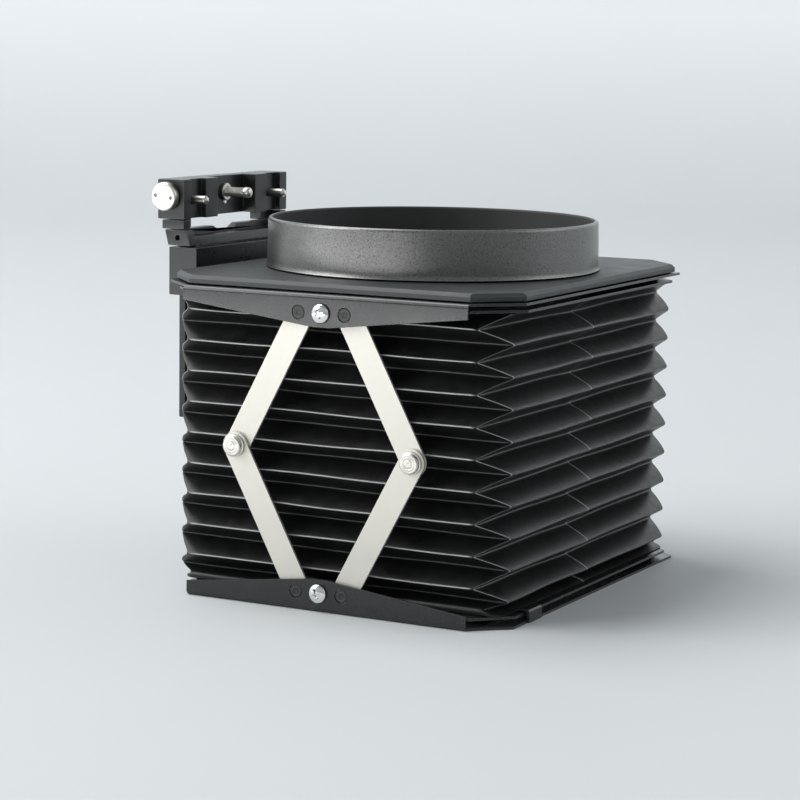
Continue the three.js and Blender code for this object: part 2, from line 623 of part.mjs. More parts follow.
const block = cut(
  extrudedY(blockSection, -END_Y, 2 * END_Y),
  box(BLOCK_STEP, BLOCK_FRONT + 1, -stepY, stepY, BLOCK_TOP - BLOCK_STEP_DROP, BLOCK_TOP + 1),
  notch,
  ...SIDES.map(([, side]) => railSlot(side, BLOCK_BOTTOM - 1, BLOCK_BOTTOM + RAIL_SOCKET)),
  rodY(BLIND_R, BLOCK_FRONT - BLIND_BEHIND, -END_Y - 1, -END_Y + BLIND_DEEP, (BLOCK_TOP + BLOCK_BOTTOM) / 2),
);
add(hood, 'slide_block', block, anodised);

// Two rails under the block, each with a stop pin across its lower end, and two necks above it.
for (const [sideName, side] of SIDES) {
  const y = side * RAIL_Y;
  const railFront = RAIL_BACK + RAIL_THICK;
  const halfWidth = RAIL_WIDTH / 2;
  const railTop = BLOCK_BOTTOM + RAIL_SOCKET - GAP;
  const rail = cut(
    box(RAIL_BACK, railFront, y - halfWidth, y + halfWidth, RAIL_BOTTOM, railTop),
    rodX(STOP_R + GAP, RAIL_BACK - 1, railFront + 1, y, STOP_Z),
  );
  add(hood, `slide_rail_${sideName}`, rail, blackened);
  const stop = rodX(STOP_R, RAIL_BACK - STOP_BACK, railFront + STOP_FRONT, y, STOP_Z);
  add(hood, `rail_stop_${sideName}`, stop, blackened);

  const z0 = BLOCK_TOP + GAP;
  const z1 = BAR_BOTTOM - GAP;
  const neck = join(
    box(NECK_BACK, NECK_FRONT, side * stepY, side * END_Y, z0, z1),
    box(NECK_BACK, BLOCK_STEP, side * GAP_HALF, side * END_Y, z0, z1),
  );
  add(hood, `neck_${sideName}`, neck, anodised);
}

// The mounting bar, grooved across its camera face, with its pins, screws and cap.
const grooveFloor = BAR_FRONT - CENTRE_GROOVE;
const pinFloor = BAR_FRONT - PIN_GROOVE;
const bar = cut(
  box(BAR_BACK, BAR_FRONT, -END_Y, END_Y, BAR_BOTTOM, BAR_TOP),
  box(grooveFloor, BAR_FRONT + 1, -LAND_IN, LAND_IN, BAR_BOTTOM - 1, BAR_TOP + 1),
  ...SIDES.map(([, side]) => (
    box(pinFloor, BAR_FRONT + 1, side * LAND_OUT, side * LIP_IN, BAR_BOTTOM - 1, BAR_TOP + 1)
  )),
  ...SIDES.map(([, side]) => (
    rodX(LOCATOR_R + GAP, BAR_FRONT - LOCATOR_DEEP - GAP, BAR_FRONT, side * PIN_Y, PIN_Z)
  )),
  rodX(STUD_R + GAP, BAR_BACK - 1, BAR_FRONT, 0, STUD_Z),
  rodX(SET_SCREW_R + GAP, grooveFloor - SET_SCREW_DEEP - GAP, grooveFloor + 1, 0, SET_SCREW_Z),
  rodY(CAP_SHANK_R + GAP, CAP_X, -END_Y - 1, -END_Y + CAP_DEEP + GAP, STUD_Z),
);
add(hood, 'mounting_bar', bar, anodised);

const pinTip = BAR_FRONT + LOCATOR_OUT;
const locatingPin = [
  [0, BAR_FRONT - LOCATOR_DEEP], [LOCATOR_R, BAR_FRONT - LOCATOR_DEEP], [LOCATOR_R, pinTip - LOCATOR_NOSE],
  [LOCATOR_R - LOCATOR_NOSE, pinTip], [0, pinTip],
];
for (const [sideName, side] of SIDES) {
  add(hood, `locating_pin_${sideName}`, turnedX(locatingPin), steel).position.set(0, side * PIN_Y, PIN_Z);
}

const studLength = STUD_TIP - (BAR_BACK - GAP);
const noseR = STUD_R + NOSE_OVER;
const stud = turnedX([
  [0, -1], [STUD_R, -1], [STUD_R, studLength - STUD_RELIEF], [noseR, studLength - STUD_RELIEF + NOSE_OVER],
  [noseR, studLength - noseR / 2], [noseR / 2, studLength], [0, studLength],
]);
const thumbScrew = add(hood, 'thumb_screw', knurledScrew(KNOB_LENGTH, stud), steel);
thumbScrew.position.set(BAR_BACK - GAP, 0, STUD_Z);
const setScrew = rodX(SET_SCREW_R, grooveFloor - SET_SCREW_DEEP, grooveFloor + SET_SCREW_OUT, 0, SET_SCREW_Z);
add(hood, 'set_screw', setScrew, chrome);

const capSeat = -END_Y - GAP;
const capFace = capSeat - CAP_HIGH;
const cap = cut(
  turnedY([
    [0, capFace], [CAP_R - CAP_CHAMFER, capFace], [CAP_R, capFace + CAP_CHAMFER], [CAP_R, capSeat],
    [CAP_SHANK_R, capSeat], [CAP_SHANK_R, -END_Y + CAP_DEEP], [0, -END_Y + CAP_DEEP],
  ], MID_ROUND),
  ...[-CAP_HOLE, CAP_HOLE].map((x) => rodY(CAP_HOLE_R, x, capFace - 1, capFace + CAP_HOLE_DEEP, 0)),
);
add(hood, 'end_cap', cap, chrome).position.set(CAP_X, 0, STUD_Z);

export default object;
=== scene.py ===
"""The looks of a bellows lens hood for a view camera, standing on its front frame.

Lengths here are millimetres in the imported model's own frame, and become metres as each mesh is made.
"""
import math
import random

import bmesh
import bpy
from mathutils import Matrix, Vector


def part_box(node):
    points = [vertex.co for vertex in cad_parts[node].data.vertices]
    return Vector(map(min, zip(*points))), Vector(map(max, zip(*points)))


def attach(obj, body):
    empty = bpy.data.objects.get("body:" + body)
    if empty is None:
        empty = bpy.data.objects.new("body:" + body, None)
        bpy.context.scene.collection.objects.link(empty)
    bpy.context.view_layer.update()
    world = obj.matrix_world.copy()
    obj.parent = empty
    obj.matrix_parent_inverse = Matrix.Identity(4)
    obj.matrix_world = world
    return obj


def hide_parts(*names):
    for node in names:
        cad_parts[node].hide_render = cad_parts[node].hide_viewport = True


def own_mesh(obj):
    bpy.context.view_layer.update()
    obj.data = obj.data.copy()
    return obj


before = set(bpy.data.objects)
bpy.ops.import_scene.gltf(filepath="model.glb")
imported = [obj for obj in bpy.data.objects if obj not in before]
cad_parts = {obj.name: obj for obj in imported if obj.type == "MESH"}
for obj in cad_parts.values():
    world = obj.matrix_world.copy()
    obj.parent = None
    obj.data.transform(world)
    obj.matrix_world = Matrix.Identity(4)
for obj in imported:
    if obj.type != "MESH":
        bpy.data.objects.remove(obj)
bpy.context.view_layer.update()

MM = 0.001
SIDES = {"near": -1, "far": 1}      # the -Y and the +Y side
HANDS = ("left", "right")           # the -X and the +X half of a side


def node_box(name):
    """The lowest and the highest corner of a CAD node."""
    low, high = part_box(name)
    return low / MM, high / MM


def node_middle(name):
    low, high = node_box(name)
    return (low + high) / 2


def clamp(value, low=0.0, high=1.0):
    return min(high, max(low, value))


# ======== materials ========
MOTTLE = (0.3, 0.7)         # the part of the noise's range that a mottled finish spreads over
EDGE_REACH = 0.35           # width of the paler band beside an edge
RUBBED_ROUGHNESS = 0.36     # roughness of a rubbed fold


def grey(value, tint=(1.0, 1.0, 1.0)):
    return (*(value * part for part in tint), 1.0)


class Finish:
    """A material under construction: its node tree, its shader, and its texture coordinates."""

    def __init__(self, name):
        self.material = bpy.data.materials.new(name)
        self.material.use_nodes = True
        self.tree = self.material.node_tree
        self.shader = self.tree.nodes["Principled BSDF"]
        self.place = self.node("ShaderNodeTexCoord").outputs["Object"]

    def fill(self, node, inputs):
        """The node with its inputs set. Each gets a number, a colour, or another node's socket."""
        for key, value in inputs.items():
            if isinstance(value, bpy.types.NodeSocket):
                self.tree.links.new(value, node.inputs[key])
            else:
                node.inputs[key].default_value = value
        return node

    def node(self, kind, inputs=None, **settings):
        made = self.tree.nodes.new(kind)
        for key, value in settings.items():
            setattr(made, key, value)
        return self.fill(made, inputs or {})

    def noise(self, scale):
        inputs = {"Vector": self.place, "Scale": scale, "Detail": 4.0, "Roughness": 0.6}
        return self.node("ShaderNodeTexNoise", inputs).outputs["Fac"]

    def cells(self, scale):
        inputs = {"Vector": self.place, "Scale": scale}
        return self.node("ShaderNodeTexVoronoi", inputs).outputs["Distance"]

    def dot(self, first, second):
        """How far two directions agree."""
        node = self.node("ShaderNodeVectorMath", {0: first, 1: second}, operation="DOT_PRODUCT")
        return node.outputs["Value"]

    def math(self, operation, first, second):
        return self.node("ShaderNodeMath", {0: first, 1: second}, operation=operation).outputs["Value"]

    def edges(self):
        """1 beside an edge of the mesh and 0 away from one."""
        soft = self.node("ShaderNodeBevel", {"Radius": EDGE_REACH * MM}, samples=4)
        true = self.node("ShaderNodeNewGeometry")
        same = self.dot(soft.outputs["Normal"], true.outputs["True Normal"])
        return self.ramp(same, 0.99, 0.9, 0.0, 1.0)

    def ramp(self, value, start, end, low, high):
        inputs = {"Value": value, "From Min": start, "From Max": end, "To Min": low, "To Max": high}
        return self.node("ShaderNodeMapRange", inputs).outputs["Result"]

    def colours(self, share, first, second):
        """first where share is 0 and second where it is 1."""
        return self.node("ShaderNodeMix", {0: share, 6: first, 7: second}, data_type="RGBA").outputs[2]

    def numbers(self, share, first, second):
        return self.node("ShaderNodeMix", {0: share, 2: first, 3: second}, data_type="FLOAT").outputs[0]


def surface(
    name, dark, light, roughness, tint=(1.0, 1.0, 1.0), metallic=0.0, specular=0.5, patch=120.0,
    grain=2500.0, depth=0.02, leather=False, edge=None, rub_and_highlight=None,
):
    """A finish with mottled colour, uneven roughness and grain. Its edges are paler, and so are its fold
    lines: partly rubbed wear, partly painted highlight.

    depth is the grain's height in millimetres; grain and patch are features per metre.
    """
    finish = Finish(name)
    mottle = finish.noise(patch)
    share = finish.ramp(mottle, *MOTTLE, 0.0, 1.0)
    colour = finish.colours(share, grey(dark, tint), grey(light, tint))
    rough = finish.ramp(mottle, *MOTTLE, *roughness)
    if edge is not None:
        colour = finish.colours(finish.edges(), colour, grey(edge, tint))
    # Paler fold lines from the mesh's mask: partly rubbed wear, partly painted highlight.
    if rub_and_highlight is not None:
        mask = finish.node("ShaderNodeAttribute", attribute_name="rub_and_highlight").outputs["Fac"]
        colour = finish.colours(mask, colour, grey(rub_and_highlight, tint))
        rough = finish.numbers(mask, rough, RUBBED_ROUGHNESS)
    relief = finish.cells(grain) if leather else finish.noise(grain)
    bump = finish.node("ShaderNodeBump", {"Strength": 1.0, "Distance": depth * MM, "Height": relief})
    finish.fill(finish.shader, {
        "Base Color": colour, "Roughness": rough, "Metallic": metallic, "Specular IOR Level": specular,
        "Normal": bump.outputs["Normal"],
    })
    return finish.material


# tints
PAPER = (0.965, 1.0, 1.015)
COOL = (0.96, 1.0, 1.03)
WARM = (1.0, 0.97, 0.89)
BLUE = (0.9, 1.0, 1.06)
NEUTRAL = (1.0, 0.99, 0.97)

black_paint = surface(
    "black_paint", 0.015, 0.021, (0.2, 0.28), COOL, specular=0.62, edge=0.08, grain=3500, depth=0.005,
)
blue_paint = surface("blue_paint", 0.03, 0.04, (0.42, 0.52), BLUE, edge=0.14, grain=3500, depth=0.006)
crinkle_paint = surface(
    "crinkle_paint", 0.12, 0.24, (0.26, 0.34), NEUTRAL, metallic=0.8, edge=0.4,
    patch=2200, grain=1700, depth=0.055,
)
matt_black = surface("matt_black", 0.03, 0.042, (0.55, 0.7), grain=1800, depth=0.03)
# Its paler fold lines are partly rubbed wear and partly painted highlight.
leatherette = surface(
    "leatherette", 0.005, 0.009, (0.34, 0.48), patch=260, grain=2400, depth=0.03, leather=True, rub_and_highlight=0.7,
)
nickel = surface(
    "satin_nickel", 0.71, 0.77, (0.5, 0.6), WARM, metallic=0.8, patch=90, grain=1200, depth=0.003,
)
turned_steel = surface(
    "turned_steel", 0.66, 0.78, (0.3, 0.42), WARM, metallic=1.0, patch=400, grain=2000, depth=0.004,
)
chrome = surface("chrome", 0.86, 0.94, (0.08, 0.14), metallic=1.0, patch=300, grain=1500, depth=0.001)
anodised = surface("anodised", 0.01, 0.016, (0.26, 0.34), COOL, edge=0.08, grain=4000, depth=0.005)
blackened = surface(
    "blackened", 0.016, 0.028, (0.34, 0.5), metallic=0.2, edge=0.12, grain=3000, depth=0.005,
)


# ======== making pieces ========
def linked(name, data):
    made = bpy.data.objects.new(name, data)
    bpy.context.scene.collection.objects.link(made)
    return made


def new_object(name, points, faces, material):
    """A closed mesh with its faces outwards."""
    mesh = bpy.data.meshes.new(name)
    mesh.from_pydata([Vector(p) * MM for p in points], [], faces)
    mesh.materials.append(material)
    work = bmesh.new()
    work.from_mesh(mesh)
    bmesh.ops.recalc_face_normals(work, faces=work.faces)
    work.to_mesh(mesh)
    work.free()
    return linked(name, mesh)


def applied(piece):
    """The piece with its modifiers made final."""
    graph = bpy.context.evaluated_depsgraph_get()
    mesh = bpy.data.meshes.new_from_object(piece.evaluated_get(graph))
    piece.modifiers.clear()
    piece.data = mesh
    return piece


def combined(piece, tools, operation):
    """The piece with other solids cut out of it or joined to it."""
    for tool in tools:
        change = piece.modifiers.new("change", "BOOLEAN")
        change.operation = operation
        change.solver = "EXACT"
        change.object = tool
    applied(piece)
    for tool in tools:
        bpy.data.objects.remove(tool)
    return piece


def rounded(piece, width, angle=35):
    """The piece with its edges rounded."""
    edge = piece.modifiers.new("rounding", "BEVEL")
    edge.width = width * MM
    edge.segments = 2
    edge.limit_method = "ANGLE"
    edge.angle_limit = math.radians(angle)
    edge.use_clamp_overlap = True
    edge.miter_outer = "MITER_ARC"
    return applied(piece)


def placed(piece, body, slot, *nodes, crease=38):
    """The piece shaded smooth up to a crease angle, riding on its body in place of its CAD nodes."""
    piece.data.shade_smooth()
    piece.data.set_sharp_from_angle(angle=math.radians(crease))
    flat = piece.modifiers.new("flat_faces", "WEIGHTED_NORMAL")
    flat.keep_sharp = True
    applied(piece)
    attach(piece, body)
    if nodes:
        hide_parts(*nodes)
    return piece


def band(count, start, end):
    """Quads between two closed loops of points, each given by the place of its first point."""
    faces = []
    for i in range(count):
        after = (i + 1) % count
        faces.append([start + i, start + after, end + after, end + i])
    return faces


def prism(name, outline, low, high, axis, material):
    """A solid of one outline between two planes. The outline's axes are the other two, in order."""
    def at(pair, level):
        point = list(pair)
        point.insert("xyz".index(axis), level)
        return point

    count = len(outline)
    points = [at(pair, low) for pair in outline] + [at(pair, high) for pair in outline]
    faces = [list(range(count)), list(range(count, 2 * count))] + band(count, 0, count)
    return new_object(name, points, faces, material)


def block(name, low, high, material):
    outline = [(low[0], low[1]), (high[0], low[1]), (high[0], high[1]), (low[0], high[1])]
    return prism(name, outline, low[2], high[2], "z", material)


def skinned(name, loops, material, capped=False):
    """A solid through loops of equal length. It closes on itself, or has its two ends capped."""
    count = len(loops[0])
    points = [point for loop in loops for point in loop]
    faces = []
    last = len(loops) - 1
    for level in range(last):
        faces += band(count, level * count, (level + 1) * count)
    if capped:
        faces += [list(range(count)), list(range(last * count, len(points)))]
    else:
        faces += band(count, last * count, 0)
    return new_object(name, points, faces, material)


def turned(name, profile, middle, axis, material, sides=48, closed=False):
    """A solid turned about an axis, from pairs of radius and distance along it.

    The first and last radius are 0, unless the profile closes on itself.
    """
    along = {"x": 0, "y": 1, "z": 2}[axis]
    first, second = [i for i in range(3) if i != along]

    def ring(radius, distance):
        points = []
        for i in range(sides):
            angle = 2 * math.pi * i / sides
            point = list(middle)
            point[along] += distance
            point[first] += radius * math.cos(angle)
            point[second] += radius * math.sin(angle)
            points.append(point)
        return points

    if closed:
        return skinned(name, [ring(*pair) for pair in profile], material)
    tips = []
    for radius, distance in (profile[0], profile[-1]):
        tip = list(middle)
        tip[along] += distance
        tips.append(tip)
    rings = [ring(*pair) for pair in profile[1:-1]]
    points = [point for loop in rings for point in loop] + tips
    faces = []
    last = (len(rings) - 1) * sides
    for start in range(0, last, sides):
        faces += band(sides, start, start + sides)
    for i in range(sides):
        after = (i + 1) % sides
        faces.append([len(points) - 2, i, after])
        faces.append([len(points) - 1, last + after, last + i])
    return new_object(name, points, faces, material)


def rod(name, radius, low, high, middle, axis, material, sides=48):
    """A plain cylinder between two distances along its axis."""
    profile = [(0, low), (radius, low), (radius, high), (0, high)]
    return turned(name, profile, middle, axis, material, sides)


def arc(middle, radius, start, end, steps):
    """Points on an arc, angles in degrees."""
    points = []
    for i in range(steps + 1):
        angle = math.radians(start + (end - start) * i / steps)
        points.append((middle[0] + radius * math.cos(angle), middle[1] + radius * math.sin(angle)))
    return points


# ======== sizes taken from the frame ========
AXIS = node_middle("lens_collar").x
rear_low, rear_high = node_box("rear_frame")
REAR_TOP = rear_high.z
FRAME_Y = (rear_high.y - rear_low.y) / 2
WINDOW_X = 50.0
WINDOW_Y = 59.2
WINDOW_CORNER = 2.0         # the window's corner points for the sheet's faces
APART = 0.01                # keeps two points of a loop from falling together
SHEET = 0.8
SHEET_EDGE = 0.14           # rounding of the sheet's edges
BEND = 1.5                  # outer radius of a bend in the folded frames
BEND_STEPS = 6
FLANGE_END = 4.65
FLANGE_MIDDLE = node_box("front_frame")[1].z
FLANGE_FLAT = 3.0
APRON_Y = 36.0
APRON_DROP = REAR_TOP - 89.8
PIVOT_DEPTH = node_middle("front_pivot_near_left").z
FLUSH_R = 2.1
CLIP_GAP = 0.3              # clearance round the clip
NOTCH_DEPTH = 1.4           # depth of the notch that holds the clip
FLUSH_GAP = 0.22            # clearance round a rivet in its flange
INSET_X = 1.1               # the bellows frames' edges lie this far inside the folded frames'
INSET_Y = 3.8
APRON_RELIEF = 0.4          # from the apron's ends to the plate's own edge
# how far the flanges reach towards -X and +X, and where the corners end on the -X and the +X side
FRAME_SHAPES = {
    "front": {"edges": (47.9, 50.5), "corners": (58.0, 62.5)},
    "rear": {"edges": (49.5, 49.5), "corners": (60.2, 60.2)},
}


# ======== folded sheet ========
def folded_sheet(name, outer, inner, bends, upright):
    """A window frame of sheet metal, flat on its outer face, with edges bent up.

    outer and inner are matching loops of points on the outer face. Each bend is a run of places in
    outer, the way it faces, its outer radius, and its height at each place. upright turns a point's
    height above the outer face into z.
    """
    skin = [[(x, y, 0.0), (x, y, SHEET)] for x, y in outer + inner]
    count = len(outer)
    faces = band(count, 0, count)
    for run, (out_x, out_y), radius, heights in bends:
        rows = [list(run)]
        for step in range(1, BEND_STEPS + 2):
            angle = math.pi / 2 * min(step / BEND_STEPS, 1.0)
            row = []
            for place, height in zip(run, heights):
                x, y = outer[place]
                pair = []
                for r in (radius, radius - SHEET):
                    reach = r * math.sin(angle)
                    rise = radius - r * math.cos(angle) if step <= BEND_STEPS else height
                    pair.append((x + out_x * reach, y + out_y * reach, rise))
                row.append(len(skin))
                skin.append(pair)
            rows.append(row)
        for below, above in zip(rows, rows[1:]):
            for i in range(len(run) - 1):
                faces.append([below[i], below[i + 1], above[i + 1], above[i]])
    points = [pair[0] for pair in skin] + [pair[1] for pair in skin]
    points = [(x + AXIS, y, upright(z)) for x, y, z in points]
    uses = {}
    for face in faces:
        for a, b in zip(face, face[1:] + face[:1]):
            uses.setdefault(frozenset((a, b)), []).append((a, b))
    total = len(skin)
    faces += [[total + i for i in face[::-1]] for face in faces]
    faces += [[b, a, total + a, total + b] for (a, b), *others in uses.values() if not others]
    return new_object(name, points, faces, black_paint)


def folded_frame(end, notch=None, apron=False):
    """One of the two folded frames: plate, two tapered flanges, and perhaps an apron on the -X side."""
    low, high = node_box(f"{end}_frame")
    left = AXIS - low.x
    right = high.x - AXIS
    upright = frames[end]
    edge_left, edge_right = FRAME_SHAPES[end]["edges"]
    corner_left, corner_right = FRAME_SHAPES[end]["corners"]
    base_y = FRAME_Y - BEND
    stops = [-edge_left, -edge_left / 2, -FLANGE_FLAT, FLANGE_FLAT, edge_right / 2, edge_right]

    def edge(x):
        return edge_left if x < 0 else edge_right

    def height(x):
        share = max(0.0, (abs(x) - FLANGE_FLAT) / (edge(x) - FLANGE_FLAT))
        return FLANGE_MIDDLE + (FLANGE_END - FLANGE_MIDDLE) * share

    outer = []
    inner = []

    def point(x, y, inside_x, inside_y):
        outer.append((x, y))
        inner.append((inside_x, inside_y))
        return len(outer) - 1

    def flange(side, places):
        run = [point(x, side * base_y, x * WINDOW_X / edge(x), side * WINDOW_Y) for x in places]
        return run, (0, side), BEND, [height(x) for x in places]

    window_y = WINDOW_Y - WINDOW_CORNER
    bends = [flange(-1, stops)]
    point(right, -corner_right, WINDOW_X, -window_y)
    if notch:
        start, end_y, depth = notch
        for x, y in ((0, start), (depth, start), (depth, end_y), (0, end_y)):
            point(right - x, y, WINDOW_X, y + (APART if x else 0))
    point(right, corner_right, WINDOW_X, window_y)
    bends.append(flange(1, stops[::-1]))
    point(-left, corner_left, -WINDOW_X, window_y)
    if apron:
        relief = APRON_Y + APRON_RELIEF
        point(-left, relief, -WINDOW_X, relief)
        run = [point(-left + BEND, y, -WINDOW_X, y) for y in (APRON_Y, 0, -APRON_Y)]
        point(-left, -relief, -WINDOW_X, -relief)
        bends.append((run, (-1, 0), BEND, [APRON_DROP] * 3))
    point(-left, -corner_left, -WINDOW_X, -window_y)

    piece = folded_sheet(f"{end}_folded_frame", outer, inner, bends, upright)
    rounded(piece, SHEET_EDGE, angle=40)
    drills = []
    reach = 1.1 * FRAME_Y
    radius = FLUSH_R + FLUSH_GAP
    for hand in HANDS:
        pivot = node_middle(f"front_pivot_near_{hand}")
        middle = (pivot.x, 0, upright(PIVOT_DEPTH))
        drills.append(rod("drill", radius, -reach, reach, middle, "y", matt_black, 40))
    return combined(piece, drills, "DIFFERENCE")


clip_low, clip_high = node_box("front_clip")
frames = {"front": lambda z: z, "rear": lambda z: REAR_TOP - z}
notch = (clip_low.y - CLIP_GAP, clip_high.y + CLIP_GAP, NOTCH_DEPTH)
front_sheet = folded_frame("front", notch=notch)
rear_sheet = folded_frame("rear", apron=True)
placed(front_sheet, "front", "frame_black", "front_frame")
placed(rear_sheet, "rear", "frame_black", "rear_frame")


def bellows_frame(end, upright):
    """The flat frame that the bellows is glued to, with a tab behind the middle of each flange."""
    low, high = node_box(f"{end}_bellows_frame")
    left = AXIS - low.x
    right = high.x - AXIS
    edge_left, edge_right = (edge - INSET_X for edge in FRAME_SHAPES[end]["edges"])
    corner_left, corner_right = (corner - INSET_Y for corner in FRAME_SHAPES[end]["corners"])
    inner_y = FRAME_Y - INSET_Y
    reach = (high.y - low.y) / 2
    level = low.z if end == "front" else REAR_TOP - high.z
    top = high.z if end == "front" else REAR_TOP - low.z
    tab = 3.2
    bend = 1.1
    window_y = WINDOW_Y - WINDOW_CORNER
    outer = []
    inner = []
    runs = []
    for side in (-1, 1):
        run = []
        stops = [
            (-edge_left, inner_y), (-tab - APART, inner_y), (-tab, reach - bend),
            (tab, reach - bend), (tab + APART, inner_y), (edge_right, inner_y),
        ]
        for x, y in stops if side < 0 else stops[::-1]:
            if y != inner_y:
                run.append(len(outer))
            outer.append((x, side * y))
            inner.append((x * WINDOW_X / (edge_left if x < 0 else edge_right), side * WINDOW_Y))
        runs.append(run)
        for way in (side, -side):
            if side < 0:
                outer.append((right, way * corner_right))
                inner.append((WINDOW_X, way * window_y))
            else:
                outer.append((-left, way * corner_left))
                inner.append((-WINDOW_X, way * window_y))
    bends = [(run, (0, side), bend, [top - level] * len(run)) for run, side in zip(runs, (-1, 1))]
    name = f"{end}_inner_frame"
    piece = folded_sheet(name, outer, inner, bends, lambda z: upright(z + level))
    placed(rounded(piece, SHEET_EDGE, angle=40), end, "frame_black", f"{end}_bellows_frame")


for end, upright in frames.items():
    bellows_frame(end, upright)


# ======== clip on the front frame ========
def front_clip():
    """A strip bent over the +X edge of the two front frames."""
    bend = 0.9
    thick = 0.6
    lap = clip_low.x
    inside = clip_high.x - 2 * thick
    foot = clip_low.z + 0.05
    outline = [
        (inside, foot), (clip_high.x, foot),
        *arc((clip_high.x - bend, clip_high.z - bend), bend, 0, 90, 5),
        (lap, clip_high.z), (lap, clip_high.z - thick), (inside, clip_high.z - thick),
    ]
    piece = prism("front_strap", outline, clip_low.y, clip_high.y, "y", black_paint)
    placed(rounded(piece, 0.12), "front", "frame_black", "front_clip")


front_clip()


# ======== lens panel and collar ========
PANEL_CORNER = 12.6
PANEL_BEVEL = 1.1
PANEL_HOLE = 50.0
SPIGOT_R = 49.7
RING_STEPS = 16             # points on each side of the panel's octagon


def octagon_stops(half_x, half_y, corner):
    """Points round an octagon, the same number on every side."""
    ends = [
        (half_x, -half_y + corner), (half_x, half_y - corner), (half_x - corner, half_y),
        (-half_x + corner, half_y), (-half_x, half_y - corner), (-half_x, -half_y + corner),
        (-half_x + corner, -half_y), (half_x - corner, -half_y),
    ]
    points = []
    for (x0, y0), (x1, y1) in zip(ends, ends[1:] + ends[:1]):
        for i in range(RING_STEPS):
            points.append((x0 + (x1 - x0) * i / RING_STEPS, y0 + (y1 - y0) * i / RING_STEPS))
    return points


def lens_panel():
    low, high = node_box("lens_panel")
    half_x = (high.x - low.x) / 2
    half_y = (high.y - low.y) / 2
    face = high.z - PANEL_BEVEL

    def octagon(inset, z):
        corner = PANEL_CORNER - 0.6 * inset
        stops = octagon_stops(half_x - inset, half_y - inset, corner)
        return [(x + AXIS, y, z) for x, y in stops]

    def circle(radius, z):
        points = []
        for x, y in octagon_stops(half_x, half_y, PANEL_CORNER):
            length = math.hypot(x, y)
            points.append((x * radius / length + AXIS, y * radius / length, z))
        return points

    loops = [
        circle(PANEL_HOLE, low.z), octagon(0.25, low.z), octagon(0.0, low.z + 0.25),
        octagon(0.0, face - 0.12), octagon(0.06, face + 0.06),
        octagon(PANEL_BEVEL - 0.16, high.z - 0.12), octagon(PANEL_BEVEL + 0.1, high.z),
        octagon(PANEL_BEVEL + 5, high.z), circle(PANEL_HOLE, high.z),
    ]
    piece = skinned("lens_board", loops, blue_paint)
    placed(piece, "rear", "panel_paint", "lens_panel", crease=32)


def lens_collar():
    low, high = node_box("lens_collar")
    outer = (high.x - low.x) / 2
    rim = outer - 0.7
    inner = rim - 1.5
    seat = node_box("lens_panel")[1].z + 0.3
    profile = [
        (SPIGOT_R - 1, low.z), (SPIGOT_R, low.z), (SPIGOT_R, seat), (outer - 0.3, seat),
        (outer, seat + 0.3),
        (outer - 0.28, seat + 0.9), (outer - 0.42, seat + 1.8), (outer - 0.5, (seat + high.z) / 2),
        (rim + 0.03, high.z - 1.0), (rim - 0.1, high.z - 0.45), (rim - 0.45, high.z - 0.1),
        (rim - 0.75, high.z),
        (inner + 0.35, high.z - 0.05), (inner + 0.05, high.z - 0.35), (inner, high.z - 0.8),
        (inner, seat + 1.6), (inner - 0.2, seat + 1.4), (SPIGOT_R - 1, seat + 1.4),
    ]
    piece = turned("collar_ring", profile, (AXIS, 0, 0), "z", crinkle_paint, 160, closed=True)
    piece.data.materials.append(matt_black)
    for face in piece.data.polygons:
        middle = face.center / MM
        if math.hypot(middle.x - AXIS, middle.y) < inner + 0.2:
            face.material_index = 1
    placed(piece, "rear", "collar_crinkle", "lens_collar", crease=50)


lens_panel()
lens_collar()


# ======== struts, rivets and screws ========
STRUT_HALF = 4.25           # half width of a strut
SHANK_R = 1.4               # of every rivet
TAIL_R = 2.4
TAIL_THICK = 0.5
HEAD_R = 3.0                # a domed screw's head, its dome and its edge
DOME_HIGH = 1.25
HEAD_HIGH = 1.5
DOME_STEPS = 8
SCREW_R = 1.2


def strut(name, start, end, low_y, high_y):
    """A flat arm with round ends between two points in X and Z."""
    turn = math.degrees(math.atan2(end[1] - start[1], end[0] - start[0]))
    outline = arc(start, STRUT_HALF, turn + 90, turn + 270, 20)
    outline += arc(end, STRUT_HALF, turn - 90, turn + 90, 20)
    return rounded(prism(name, outline, low_y, high_y, "y", nickel), 0.16)


def outer_face(side, node):
    """A node's middle, the Y of its outer face, and its length along Y."""
    low, high = node_box(node)
    return (low + high) / 2, low.y if side < 0 else high.y, high.y - low.y


def sunk(name, side, node, profile, material, sides):
    """A solid on a node's axis, turned from pairs of radius and depth below its outer face."""
    middle, top, _ = outer_face(side, node)
    pairs = [(radius, top - side * depth) for radius, depth in profile]
    return turned(name, pairs, (middle.x, 0, middle.z), "y", material, sides)


def knee_rivet(name, side, node):
    """A raised turned head outside the two arms, with a tail behind them."""
    end = outer_face(side, node)[2]
    tail = end - TAIL_THICK
    profile = [
        (0, 0.06), (0.35, 0.06), (0.5, 0), (1.3, 0), (1.4, 0.07), (1.55, 0.07), (1.65, 0), (2.15, 0.01),
        (2.25, 0.07), (2.4, 0.07), (2.5, 0.02), (2.9, 0.1), (3.1, 0.28), (3.2, 0.5), (3.2, 1.35),
        (3.5, 1.45), (3.5, 1.9), (SHANK_R, 1.9), (SHANK_R, tail), (TAIL_R - 0.1, tail),
        (TAIL_R, end - 0.35), (2.2, end), (0, end),
    ]
    return sunk(name, side, node, profile, turned_steel, 48)


def flush_rivet(name, side, node):
    """A rivet filed flush with the flange, with a shallow dimple in its end."""
    end = outer_face(side, node)[2]
    tail = end - TAIL_THICK
    profile = [
        (0, 0.08), (0.3, 0.08), (0.45, 0), (1.15, 0), (1.25, 0.09), (1.4, 0.09), (1.5, 0),
        (FLUSH_R - 0.15, 0.02), (FLUSH_R, 0.15), (FLUSH_R, SHEET), (SHANK_R, SHEET), (SHANK_R, tail),
        (TAIL_R, tail), (TAIL_R, end), (0, end),
    ]
    return sunk(name, side, node, profile, blackened, 36)


